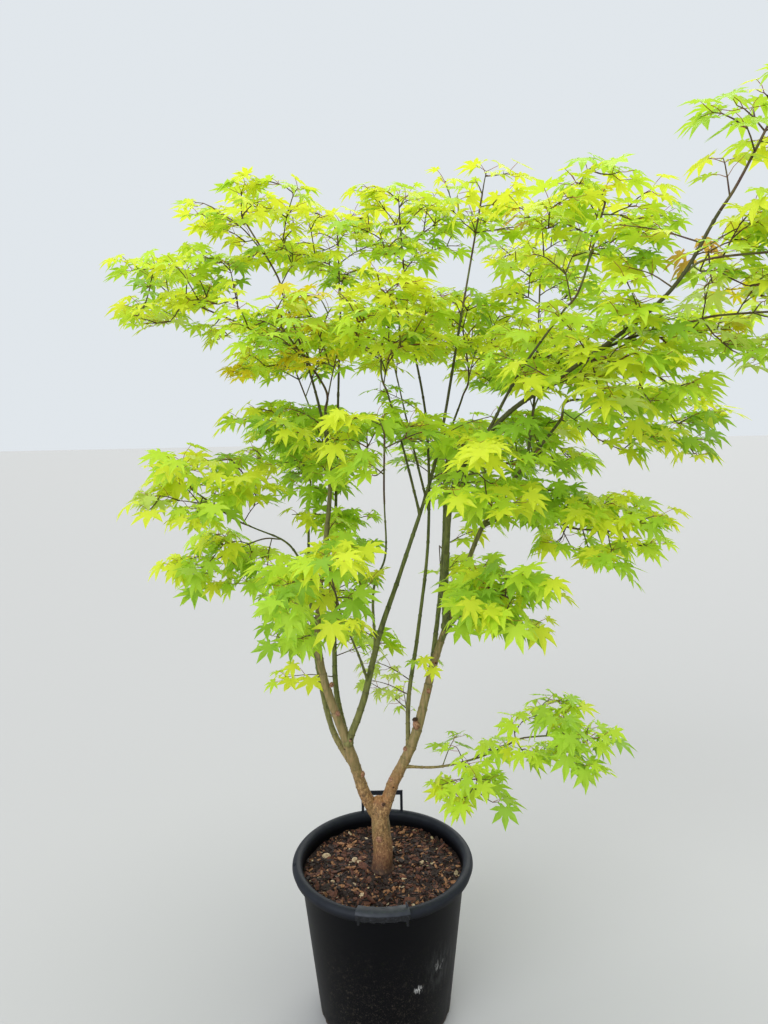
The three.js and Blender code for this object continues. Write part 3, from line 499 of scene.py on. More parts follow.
def bevel(piece: Object, width_mm: float, segments: int) -> Modifier:
    """Adds a bevel of the edges, which settle applies."""
    rounding = piece.modifiers.new("rounding", "BEVEL")
    rounding.width = width_mm * MM
    rounding.segments = segments
    return rounding


def combine(piece: Object, tool: Object, operation: str) -> None:
    """Joins a tool to a piece or cuts it out of it, and removes the tool.

    Args:
        piece: the object that is changed.
        tool: the solid that it is combined with.
        operation: UNION or DIFFERENCE.
    """
    change = piece.modifiers.new("combine", "BOOLEAN")
    change.operation = operation
    change.solver = "EXACT"
    change.object = tool
    settle(piece)
    bpy.data.objects.remove(tool)


def smooth(piece: Object, degrees: float) -> Object:
    """Shades a piece smooth, but for edges sharper than an angle."""
    activate(piece)
    bpy.ops.object.shade_smooth_by_angle(angle=math.radians(degrees))
    return piece


def flat_faces(piece: Object) -> Object:
    """Shades every face of a piece flat."""
    piece.data.polygons.foreach_set("use_smooth", np.zeros(len(piece.data.polygons), bool))
    return piece


def mesh_piece(name: str, places: np.ndarray, faces: np.ndarray) -> Object:
    """A smooth-shaded object from arrays of places in millimetres and of faces.

    Args:
        name: the object's name.
        places: one row for each vertex.
        faces: one row for each face, all with as many corners.

    Returns:
        The new object, at the origin.
    """
    mesh = bpy.data.meshes.new(name)
    count, corners = faces.shape
    mesh.vertices.add(len(places))
    mesh.vertices.foreach_set("co", (places * MM).astype(np.float32).ravel())
    mesh.loops.add(count * corners)
    mesh.loops.foreach_set("vertex_index", faces.astype(np.int32).ravel())
    mesh.polygons.add(count)
    mesh.polygons.foreach_set("loop_start", np.arange(0, count * corners, corners, dtype=np.int32))
    mesh.polygons.foreach_set("use_smooth", np.ones(count, bool))
    mesh.update(calc_edges=True)
    mesh.validate()
    piece = bpy.data.objects.new(name, mesh)
    bpy.context.scene.collection.objects.link(piece)
    return piece


def report(piece: Object, slot: str, material: Material, *nodes: str) -> None:
    """Dresses a finished piece, sets it on the plant's body and logs it.

    Args:
        piece: the finished object.
        slot: the record's material slot; not used.
        material: what it is made of.
        nodes: the CAD nodes that it stands for.
    """
    piece.data.materials.clear()
    piece.data.materials.append(material)
    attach(piece, ROOT)
    if nodes:
        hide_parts(*nodes)
    LOG.info("%s: %d faces", piece.name, len(piece.data.polygons))


def linear(code: str) -> tuple[float, float, float, float]:
    """An sRGB hex value such as #8a6b48 as linear red, green, blue and alpha."""
    parts = [int(code[index : index + 2], 16) / 255 for index in (1, 3, 5)]
    turned = [part / 12.92 if part <= 0.04045 else ((part + 0.055) / 1.055) ** 2.4 for part in parts]
    return (*turned, 1.0)


def add(
    tree: NodeTree,
    kind: str,
    settings: dict[str, object] | None = None,
    values: dict[str | int, object] | None = None,
    links: dict[str | int, NodeSocket] | None = None,
) -> Node:
    """Adds a shader node with its settings, socket values and incoming links.

    Args:
        tree: the material's node tree.
        kind: the node's type name.
        settings: the node's own properties.
        values: numbers and colours for its inputs.
        links: sockets that its inputs are fed from.

    Returns:
        The new node.
    """
    node = tree.nodes.new(kind)
    for key, value in (settings or {}).items():
        setattr(node, key, value)
    for key, value in (values or {}).items():
        node.inputs[key].default_value = value
    for key, socket in (links or {}).items():
        tree.links.new(socket, node.inputs[key])
    return node


def ramp(tree: NodeTree, factor: NodeSocket, stops: Sequence[tuple[float, str]]) -> NodeSocket:
    """A colour ramp over a factor, with its stops as places and hex colours.

    Args:
        tree: the material's node tree.
        factor: what the colour follows.
        stops: places from 0 to 1 with their colours.

    Returns:
        The colour.
    """
    node = add(tree, "ShaderNodeValToRGB", links={"Fac": factor})
    band = node.color_ramp
    while len(band.elements) < len(stops):
        band.elements.new(0.5)
    for element, (place, code) in zip(band.elements, stops):
        element.position = place
        element.color = linear(code)
    return node.outputs["Color"]


@dataclass(frozen=True)
class Surface:
    """A new material's node tree with its place coordinates and its shader."""

    material: Material
    tree: NodeTree
    place: NodeSocket
    shader: Node
    output: Node

    @classmethod
    def named(cls, name: str, roughness: float, ior: float, specular: float = 0.5) -> Surface:
        """A dielectric surface with its plain numbers set on the shader itself.

        Args:
            name: the material's name.
            roughness: how dull it is, from 0 to 1.
            ior: its index of refraction.
            specular: how strong its highlight is.

        Returns:
            The surface, its shader linked to the output.
        """
        material = bpy.data.materials.new(name)
        material.use_nodes = True
        tree = material.node_tree
        tree.nodes.clear()
        place = add(tree, "ShaderNodeTexCoord").outputs["Object"]
        values = {"Roughness": roughness, "IOR": ior, "Specular IOR Level": specular}
        shader = add(tree, "ShaderNodeBsdfPrincipled", values=values)
        output = add(tree, "ShaderNodeOutputMaterial", links={"Surface": shader.outputs["BSDF"]})
        return cls(material, tree, place, shader, output)

    def noise(self, size_mm: float, detail: float = 3, stretch: float = 1) -> NodeSocket:
        """Noise in space, finer or coarser.

        Args:
            size_mm: how large its features are.
            detail: how many finer steps it has.
            stretch: how much longer they are along Z.

        Returns:
            The noise as a factor.
        """
        scale = (1, 1, 1 / stretch)
        mapped = add(self.tree, "ShaderNodeMapping", values={"Scale": scale}, links={"Vector": self.place})
        values = {"Scale": 1 / (size_mm * MM), "Detail": detail, "Roughness": 0.6}
        link = {"Vector": mapped.outputs["Vector"]}
        return add(self.tree, "ShaderNodeTexNoise", values=values, links=link).outputs["Fac"]

    def sharpen(self, factor: NodeSocket, low: float, high: float) -> NodeSocket:
        """A factor stretched so that low becomes 0 and high becomes 1."""
        values = {"From Min": low, "From Max": high}
        return add(self.tree, "ShaderNodeMapRange", values=values, links={"Value": factor}).outputs["Result"]

    def spots(self, size: float, detail: float, low: float, high: float, stretch: float = 1) -> NodeSocket:
        """Noise sharpened between two of its levels, so that it stands out as spots."""
        return self.sharpen(self.noise(size, detail, stretch), low, high)

    def height(self, low_mm: float, high_mm: float) -> NodeSocket:
        """How high a point lies, 0 at low_mm and 1 at high_mm."""
        parts = add(self.tree, "ShaderNodeSeparateXYZ", links={"Vector": self.place})
        return self.sharpen(parts.outputs["Z"], low_mm * MM, high_mm * MM)

    def near(self, place_mm: Sequence[float], reach_mm: float, factor: NodeSocket) -> NodeSocket:
        """A factor that fades out with the distance from a place on the object."""
        place = [value * MM for value in place_mm]
        node = add(self.tree, "ShaderNodeVectorMath", {"operation": "DISTANCE"}, {1: place}, {0: self.place})
        fade = self.sharpen(node.outputs["Value"], reach_mm * MM, 0.4 * reach_mm * MM)
        return self.math("MULTIPLY", fade, factor)

    def feed(self, node: Node, index: int, value: object) -> None:
        """Sets one input to a number or a hex colour, or links it to a socket."""
        if isinstance(value, NodeSocket):
            self.tree.links.new(value, node.inputs[index])
        else:
            node.inputs[index].default_value = linear(value) if isinstance(value, str) else value

    def math(self, operation: str, first: object, second: object) -> NodeSocket:
        """One sum on two factors or numbers."""
        node = add(self.tree, "ShaderNodeMath", {"operation": operation, "use_clamp": True})
        self.feed(node, 0, first)
        self.feed(node, 1, second)
        return node.outputs["Value"]

    def mix(self, factor: object, first: object, second: object, strength: float = 1) -> NodeSocket:
        """Two colours, as hex codes or sockets, mixed by a factor.

        Args:
            factor: where the second colour shows, as a socket or a number.
            first: the colour below.
            second: the colour on top.
            strength: how much of the factor counts.

        Returns:
            The mixed colour.
        """
        share = factor if strength == 1 else self.math("MULTIPLY", factor, strength)
        node = add(self.tree, "ShaderNodeMix", {"data_type": "RGBA"})
        for index, value in ((0, share), (6, first), (7, second)):
            self.feed(node, index, value)
        return node.outputs[2]

    def layers(self, base: object, coats: Iterable[tuple[object, str, float]]) -> NodeSocket:
        """Colours laid over a base one after the other.

        Args:
            base: the colour below them.
            coats: where each one shows, its colour and its strength.

        Returns:
            The colour that is seen.
        """
        for factor, colour, strength in coats:
            base = self.mix(factor, base, colour, strength)
        return base

    def finish(
        self,
        colour: NodeSocket,
        relief: NodeSocket | None = None,
        depth_mm: float = 0.3,
        roughness: NodeSocket | None = None,
    ) -> Material:
        """Links the colour, the relief as bump of a real depth, and a varied roughness.

        Args:
            colour: the base colour.
            relief: the height that the bump follows.
            depth_mm: how deep that relief is.
            roughness: a roughness that varies over the surface.

        Returns:
            The finished material.
        """
        self.tree.links.new(colour, self.shader.inputs["Base Color"])
        if relief is not None:
            values = {"Distance": depth_mm * MM, "Strength": 1.0}
            bump = add(self.tree, "ShaderNodeBump", values=values, links={"Height": relief})
            self.tree.links.new(bump.outputs["Normal"], self.shader.inputs["Normal"])
        if roughness is not None:
            self.tree.links.new(roughness, self.shader.inputs["Roughness"])
        return self.material


def moulded_polypropylene() -> Material:
    """Injection moulded polypropylene, nearly black and satin, as it looks after a season outdoors.

    Dust gathers low down and mud on its foot, and a grey bloom holds two pale scuffs. Its rim is painted
    lighter and bluer than its wall, as a painted sheen of the sky.

    Returns:
        The material.
    """
    surface = Surface.named("moulded_polypropylene", 0.55, 1.49, 0.09)
    dirt = surface.math("MAXIMUM", surface.spots(9, 6, 0.58, 0.74), surface.spots(2.4, 2, 0.6, 0.7))
    dust = surface.math("MULTIPLY", dirt, surface.math("MULTIPLY", surface.height(300, 0), 0.32))
    bloom = surface.near((135, -125, 190), 75, surface.spots(8, 4, 0.45, 0.75, 7))
    scuff = surface.near((78, -162, 160), 15, surface.spots(4, 3, 0.53, 0.57, 3))
    second = surface.near((130, -133, 196), 24, surface.spots(4, 3, 0.54, 0.6, 5))
    scuffs = surface.math("MAXIMUM", scuff, surface.math("MULTIPLY", second, 0.45))
    mud = surface.math("MULTIPLY", surface.height(22, 4), surface.spots(7, 4, 0.35, 0.6))
    wall = surface.mix(surface.noise(40, 3), "#040405", "#07070a")
    # Painted sheen: the rim's roll is lighter and bluer than the wall, standing for the sky's reflection on
    # its upper face.
    rim = surface.mix(surface.noise(30, 4), "#1b1d22", "#2a2d33")
    base = surface.mix(surface.height(366, 386), wall, rim)
    coats = ((bloom, "#4c4d4c", 0.5), (dust, "#857b6c", 1), (scuffs, "#b9b8b4", 0.8), (mud, "#5a4634", 0.7))
    rough = surface.math("ADD", surface.math("MULTIPLY", dust, 0.6), 0.48)
    return surface.finish(surface.layers(base, coats), surface.noise(1.4, 2), 0.05, rough)


def torn_polypropylene() -> Material:
    """The same plastic where it is folded and torn: grey with stretch marks along the strap. Its top plate
    is lighter, partly from wear and partly as a painted sheen of the sky.

    Returns:
        The material.
    """
    surface = Surface.named("torn_polypropylene", 0.5, 1.49, 0.3)
    creases = surface.spots(5, 4, 0.56, 0.66, 0.3)
    # The top plate's lighter blue-grey is partly wear and partly a painted sheen of the sky.
    plate = surface.mix(surface.noise(20, 4), "#1d2026", "#353940")
    under = surface.mix(creases, "#0b0c0f", "#43464d", 0.5)
    colour = surface.mix(surface.height(387, 390.5), under, plate)
    return surface.finish(colour, surface.noise(3, 3), 0.12)


def damp_substrate() -> Material:
    """Damp peat and bark fines, nearly black brown between the chips, rough like crumbs."""
    surface = Surface.named("damp_substrate", 0.85, 1.4)
    crumbs = [(0.35, "#150d09"), (0.55, "#291913"), (0.7, "#452a20")]
    colour = ramp(surface.tree, surface.noise(4, 5), crumbs)
    return surface.finish(colour, surface.noise(2.5, 5), 1.2)


def bark_chip(name: str, dark: str, light: str) -> Material:
    """Chipped conifer bark in one tint, with fibres along it and a dull broken face."""
    surface = Surface.named(name, 0.8, 1.45)
    colour = surface.mix(surface.spots(3.2, 4, 0.35, 0.68), dark, light)
    return surface.finish(colour, surface.noise(1.6, 4), 0.5)


def weathered_stone() -> Material:
    """Small weathered stones, cream with brown stains, dull."""
    surface = Surface.named("weathered_stone", 0.7, 1.5)
    colour = surface.mix(surface.spots(6, 4, 0.35, 0.7), "#b9a684", "#83684a")
    return surface.finish(colour, surface.noise(2, 4), 0.25)


def maple_bark(name: str, tan_to: float, green_from: float) -> Material:
    """Bark of a young maple, tan and cracked on the trunk, smooth and olive green further up.

    The trunk is speckled gold and tan, with red-brown dashes low down, olive moss with painted shade on its
    left side, and a soil-stained foot.
    The boughs have olive stripes on tan, and turn olive green with height.

    Args:
        name: the material's name.
        tan_to: the height in millimetres up to which it is tan.
        green_from: the height from which it is olive green.

    Returns:
        The material.
    """
    surface = Surface.named(name, 0.7, 1.45)
    grain = [(0.3, "#463019"), (0.45, "#7a5936"), (0.58, "#9a764a"), (0.74, "#c8a672")]
    plates = ramp(surface.tree, surface.noise(5, 5, 1.8), grain)
    dashes = surface.math("MULTIPLY", surface.height(480, 400), surface.spots(5, 3, 0.55, 0.66, 0.22))
    flecks = surface.spots(4, 2, 0.6, 0.68, 0.3)
    pits = surface.spots(2.4, 3, 0.42, 0.34, 1.5)
    # Painted shade: the trunk's left side is darkened olive, laid on together with the moss.
    shaded_side = surface.near((-36, 4, 470), 62, surface.spots(12, 3, 0.3, 0.6, 2))
    moss_and_painted_shade = surface.math("MAXIMUM", surface.spots(34, 3, 0.48, 0.7, 1.6), shaded_side)
    ragged = surface.spots(6, 4, 0.3, 0.6)
    knot = surface.near((-4, -8, 552), 34, ragged)
    burl = surface.math("MAXIMUM", knot, surface.near((34, -8, 590), 46, ragged))
    foot = surface.math("MULTIPLY", surface.height(404, 362), surface.spots(9, 4, 0.2, 0.5))
    old_coats = (
        (dashes, "#7d4230", 0.85), (flecks, "#d2b384", 0.6), (pits, "#3d2a18", 0.6), (moss_and_painted_shade, "#625a2e", 0.55),
        (burl, "#8a562a", 0.7), (surface.height(470, 370), "#6a3d2b", 0.5), (foot, "#2e1d15", 0.9),
    )
    stripes = surface.spots(6, 3, 0.4, 0.64, 9)
    low = surface.mix(stripes, "#957c56", "#6f6838")
    high = surface.mix(stripes, "#667030", "#434c20")
    patches = surface.math("MULTIPLY", surface.spots(60, 2, 0.2, 0.8, 2), 0.25)
    rise = surface.math("ADD", surface.math("MULTIPLY", surface.height(tan_to, green_from), 0.8), patches)
    lenticels = surface.spots(3, 2, 0.66, 0.74, 0.5)
    ring = add(surface.tree, "ShaderNodeAttribute", {"attribute_name": BUD_SCAR}).outputs["Fac"]
    young_coats = (
        (surface.height(1120, 1500), "#39331f", 0.7), (lenticels, "#3d3a22", 0.4), (ring, "#2f2a18", 0.6),
    )
    young = surface.layers(surface.mix(rise, low, high), young_coats)
    edge = surface.math("MULTIPLY", surface.noise(30, 3, 2), 0.5)
    age = surface.math("ADD", surface.height(700, 540), surface.math("SUBTRACT", edge, 0.25))
    colour = surface.mix(age, young, surface.layers(plates, old_coats))
    return surface.finish(colour, surface.noise(2.4, 5, 2), 0.4)


def callus_bark() -> Material:
    """The smooth young bark that rolls over a cut, pinkish tan beside the old bark."""
    surface = Surface.named("callus_bark", 0.62, 1.45)
    grain = [(0.32, "#5a3a28"), (0.5, "#8a6045"), (0.68, "#b08a68")]
    return surface.finish(ramp(surface.tree, surface.noise(5, 4), grain), surface.noise(2, 3), 0.3)


def open_heartwood() -> Material:
    """The dry heart of a healed cut, dull and nearly black: partly dark wood and partly painted shade of its
    hollow.
    """
    surface = Surface.named("open_heartwood", 0.85, 1.4)
    # Nearly black: painted shade of the hollow over the dark wood.
    colour = surface.mix(surface.noise(3, 3), "#2a1c11", "#4b3320")
    return surface.finish(colour, surface.noise(1.5, 3), 0.4)


def twig_bark() -> Material:
    """Bark of last year's twigs: smooth, purplish brown to olive."""
    surface = Surface.named("twig_bark", 0.5, 1.45)
    ages = [(0.38, "#4a2a26"), (0.52, "#5a4a2c"), (0.66, "#66702f")]
    colour = ramp(surface.tree, surface.noise(40, 3), ages)
    return surface.finish(colour, surface.noise(1.5, 2, 4), 0.15)


def leaf_stalk() -> Material:
    """Thin living stalks, red on top of green."""
    surface = Surface.named("leaf_stalk", 0.45, 1.42)
    colour = ramp(surface.tree, surface.noise(18, 2), [(0.4, "#8f3a2a"), (0.6, "#a8722f")])
    return surface.finish(colour)


@dataclass(frozen=True)
class LivingLeaf:
    """One tint of thin living leaf: light passes through it, so its blades glow against light.

    The base colour is even. The folds of a blade's mesh stand for its veins.
    """

    name: str
    face: str
    through: str

    def material(self) -> Material:
        """A matte waxy face over a translucent body.

        Returns:
            The material.
        """
        surface = Surface.named(f"living_leaf_{self.name}", 0.48, 1.42, 0.35)
        surface.shader.inputs["Base Color"].default_value = linear(self.face)
        glow = add(surface.tree, "ShaderNodeBsdfTranslucent", values={"Color": linear(self.through)})
        links = {1: surface.shader.outputs["BSDF"], 2: glow.outputs["BSDF"]}
        body = add(surface.tree, "ShaderNodeMixShader", values={"Fac": 0.42}, links=links)
        surface.tree.links.new(body.outputs["Shader"], surface.output.inputs["Surface"])
        return surface.material


# The sunlit tint is painted light and the deep tint painted shade, besides the leaves' own range of greens;
# young leaves also take the sunlit tint for their own yellow.
LEAF_TINTS = (
    LivingLeaf("sunlit", "#d0de38", "#f4f844"),
    LivingLeaf("lime", "#b9d83a", "#e0f546"),
    LivingLeaf("green", "#a2c838", "#ceec42"),
    LivingLeaf("deep", "#88b234", "#b8da3c"),
    LivingLeaf("pale", "#bed264", "#e2f270"),
    LivingLeaf("amber", "#cfc028", "#ece028"),
    LivingLeaf("blush", "#c3a04c", "#e4bc50"),
)


@dataclass
class Container:
    """The round nursery container with its two carrying straps."""

    steps: int = 144
    roll_steps: int = 14
    notch_rounding: float = 2.5
    strap_leg: float = 7.2
    nub_radius: float = 4.4
    nub_angle: float = 188.0
    folded: tuple[tuple[float, float], ...] = (
        (201, 397.4), (215, 397.4), (221, 395.4), (225, 391), (225.6, 388.6), (221.4, 388),
        (222.6, 384), (223, 379), (222, 373.5), (218, 373.5), (218, 389), (201, 393),
    )
    skirt: range = range(6, 10)
    folded_steps: int = 48

    def radius(self, height: float) -> float:
        """The wall's outer radius at a height."""
        share = height / (RIM_TOP - RIM_ROLL)
        return BASE_RADIUS + (BODY_TOP_RADIUS - BASE_RADIUS) * share

    def profile(self) -> list[tuple[float, float]]:
        """The section of the container, from the middle of its underside round to its floor.

        Returns:
            The radius and height of each corner, in millimetres.
        """
        lip = RIM_TOP - LIP_DROP
        outer = self.radius(lip)
        points = [(0, 0), (BASE_RADIUS - BASE_CHAMFER, 0)]
        for turn in (25, 50, 75):
            way = math.radians(turn)
            edge = BASE_RADIUS - BASE_CHAMFER * (1 - math.sin(way))
            points.append((edge, BASE_CHAMFER * (1 - math.cos(way))))
        points += [(BASE_RADIUS + 0.4, BASE_CHAMFER), (self.radius(120), 120), (self.radius(240), 240)]
        bead = ((-0.3, -4), (1.6, -3.4), (2.6, -2), (1.6, -0.6), (0, 0), (0.6, 4))
        points += [(outer + out, lip + up) for out, up in bead]
        points += [(outer + 2, lip + 8.4), (RIM_RADIUS - 8, lip + 9.6), (RIM_RADIUS - 3.4, lip + 11.2)]
        for step in range(self.roll_steps + 1):
            turn = math.pi * step / self.roll_steps
            across = RIM_RADIUS - RIM_ROLL + RIM_ROLL * math.cos(turn)
            points.append((across, RIM_TOP - RIM_ROLL + RIM_ROLL * math.sin(turn)))
        points += [(outer - WALL, lip), (self.radius(FLOOR) - WALL, FLOOR), (0, FLOOR)]
        return points

    def body(self) -> Object:
        """The turned wall, floor and rolled rim, with the drain notches cut through its foot.

        Returns:
            The finished piece.
        """
        piece = begin("container_body", bpy.ops.mesh.primitive_plane_add, size=1)
        wire = [(radius * MM, 0, height * MM) for radius, height in self.profile()]
        piece.data.clear_geometry()
        piece.data.from_pydata(wire, [(index, index + 1) for index in range(len(wire) - 1)], [])
        with editing():
            bpy.ops.mesh.select_all(action="SELECT")
            bpy.ops.mesh.spin(steps=self.steps, angle=2 * math.pi, center=(0, 0, 0), axis=(0, 0, 1))
        outward(piece)
        combine(piece, self.cutters(), "DIFFERENCE")
        return smooth(piece, 35)

    def cutters(self) -> Object:
        """One rounded block for each drain notch, joined.

        Returns:
            The blocks as one object.
        """
        blocks = []
        cube = bpy.ops.mesh.primitive_cube_add
        for index in range(DRAIN_COUNT):
            turn = 2 * math.pi * (index + 0.5) / DRAIN_COUNT
            way = Vector((math.cos(turn), math.sin(turn), 0)) * BASE_RADIUS * MM
            way.z = (DRAIN_HEIGHT / 2 - 1) * MM
            block = begin(f"notch_{index}", cube, size=1, location=way, rotation=(0, 0, turn))
            block.scale = (DRAIN_DEPTH * MM, DRAIN_WIDTH * MM, DRAIN_HEIGHT * MM)
            bpy.ops.object.transform_apply(location=True, rotation=True, scale=True)
            bevel(block, self.notch_rounding, 3)
            blocks.append(settle(block))
        return join("notches", blocks)

    def bars(self, name: str, boxes: Sequence[tuple[Vector, Vector]], rounding: float) -> Object:
        """Straight bars between corners, made one solid and rounded along their edges.

        Args:
            name: the finished piece's name.
            boxes: the lowest and highest corner of each bar, in millimetres.
            rounding: the edges' radius.

        Returns:
            The finished piece.
        """
        parts = []
        cube = bpy.ops.mesh.primitive_cube_add
        for low, high in boxes:
            part = begin(f"{name}_part", cube, size=1, location=(low + high) / 2 * MM)
            part.scale = (high - low) * MM
            parts.append(settle(part))
        whole = parts[0]
        for part in parts[1:]:
            combine(whole, part, "UNION")
        whole.name = name
        bevel(whole, rounding, 3)
        return smooth(settle(whole), 40)

    def rear_strap(self) -> Object:
        """The strap that stands up behind: a flat bar on two legs.

        Returns:
            The finished piece.
        """
        half = STRAP_SPAN / 2
        ring = RIM_RADIUS - RIM_ROLL
        along = math.sqrt(ring**2 - (half - self.strap_leg / 2) ** 2)
        back, front = along + STRAP_THICK / 2, along - STRAP_THICK / 2
        low, high = RIM_TOP + GAP, RIM_TOP + GAP + STRAP_RISE
        inner = half - self.strap_leg
        boxes = [
            (Vector((-half, front, high - STRAP_WIDTH)), Vector((half, back, high))),
            (Vector((-half, front, low)), Vector((-inner, back, high - 1))),
            (Vector((inner, front, low)), Vector((half, back, high - 1))),
        ]
        return self.bars("rear_strap", boxes, 1.2)

    def front_strap(self) -> Object:
        """The strap folded down over the front of the rim: a plate with a crumpled skirt under it.

        Its section is given as radii and heights, and its skirt as the places in that section.

        Returns:
            The finished piece.
        """
        half = math.asin(STRAP_SPAN / 2 / (RIM_RADIUS - RIM_ROLL))
        torn_below = 374
        places, faces = [], []
        for step in range(self.folded_steps + 1):
            turn = half * (2 * step / self.folded_steps - 1)
            fray = 0.9 * math.sin(step * 0.7) + 0.5 * math.sin(step * 2.9 + 1)
            crumple = 0.6 * math.sin(step * 0.9) + 0.4 * math.sin(step * 2.3 + 1)
            for corner, (radius, height) in enumerate(self.folded):
                loose = corner in self.skirt
                reach = radius + (crumple if loose else 0.25 * math.sin(step * 0.8 + corner))
                rise = height + (fray if loose and height < torn_below else 0.3 * math.sin(step * 0.5))
                place = (math.sin(turn) * reach, -math.cos(turn) * reach, rise)
                places.append(tuple(value * MM for value in place))
        count = len(self.folded)
        last = self.folded_steps * count
        for here in range(0, last, count):
            for corner in range(count):
                after = here + (corner + 1) % count
                faces.append((here + corner, after, after + count, here + corner + count))
        faces += [tuple(range(count)), tuple(range(last, last + count))]
        strap = begin("front_strap", bpy.ops.mesh.primitive_plane_add, size=1)
        strap.data.clear_geometry()
        strap.data.from_pydata(places, [], faces)
        outward(strap)
        parts = [strap, self.tab(-53, 364, -0.12), self.tab(53, 363, 0.2), self.curl()]
        whole = join("front_strap", parts)
        bevel(whole, 0.4, 2).limit_method = "ANGLE"
        return smooth(settle(whole), 35)

    def curl(self) -> Object:
        """A scrap of the strap that stands up at its right end.

        Returns:
            The bent scrap.
        """
        curl = gridded_block("curl", 3)
        for vertex in curl.data.vertices:
            up = vertex.co.z + 0.5
            vertex.co.x = vertex.co.x * (1 - 0.5 * up) - 0.35 * up**2
            vertex.co.y += 0.8 * up**2
        curl.scale = (7 * MM, 2.4 * MM, 13 * MM)
        curl.location = (54 * MM, -203 * MM, 400 * MM)
        return settle(curl)

    def tab(self, centre: float, low: float, twist: float) -> Object:
        """The torn root of one leg of the strap, hanging outside the rim.

        Args:
            centre: where it hangs, left or right of the middle.
            low: the height of its lower end.
            twist: how far and which way it bends.

        Returns:
            The bent scrap.
        """
        face = -math.sqrt((RIM_RADIUS + 2.8) ** 2 - centre**2)
        high = RIM_TOP - 3
        tab = gridded_block("tab", 3)
        for vertex in tab.data.vertices:
            sink = 0.5 - vertex.co.z
            vertex.co.x = vertex.co.x * (1 - 0.35 * sink) + twist * sink**2
            vertex.co.y += 0.9 * sink**3 * (1 if twist < 0 else -1) + twist * vertex.co.x * sink
        tab.scale = (self.strap_leg * MM, 2.6 * MM, (high - low) * MM)
        tab.location = (centre * MM, face * MM, (high + low) / 2 * MM)
        return settle(tab)

    def nub(self) -> Object:
        """The small moulded boss on the rim's left side, with a dimple in its middle.

        Returns:
            The finished piece.
        """
        turn = math.radians(self.nub_angle)
        outwards = Vector((math.cos(turn), math.sin(turn), 0))
        way = (outwards + Vector((0, 0, 1.3))).normalized()
        middle = outwards * (RIM_RADIUS - RIM_ROLL)
        place = middle + Vector((0, 0, RIM_TOP - RIM_ROLL)) + way * (RIM_ROLL - 0.4)
        cylinder = bpy.ops.mesh.primitive_cylinder_add
        piece = begin("rim_boss", cylinder, vertices=24, radius=self.nub_radius * MM, depth=4 * MM)
        with editing():
            bpy.ops.mesh.select_all(action="DESELECT")
        for face in piece.data.polygons:
            face.select = face.normal.z > 0.9
        with editing():
            bpy.ops.mesh.inset(thickness=1.4 * MM, depth=-1.2 * MM)
        piece.rotation_euler = way.to_track_quat("Z", "Y").to_euler()
        piece.location = place * MM
        bevel(piece, 0.6, 2)
        return smooth(settle(piece), 40)

    def build(self) -> None:
        """Makes and dresses the container's pieces."""
        plastic = moulded_polypropylene()
        report(self.body(), "container", plastic, "pot")
        report(self.rear_strap(), "container", plastic, "rear_handle")
        report(self.front_strap(), "container", torn_polypropylene(), "front_handle")
        report(self.nub(), "container", plastic)


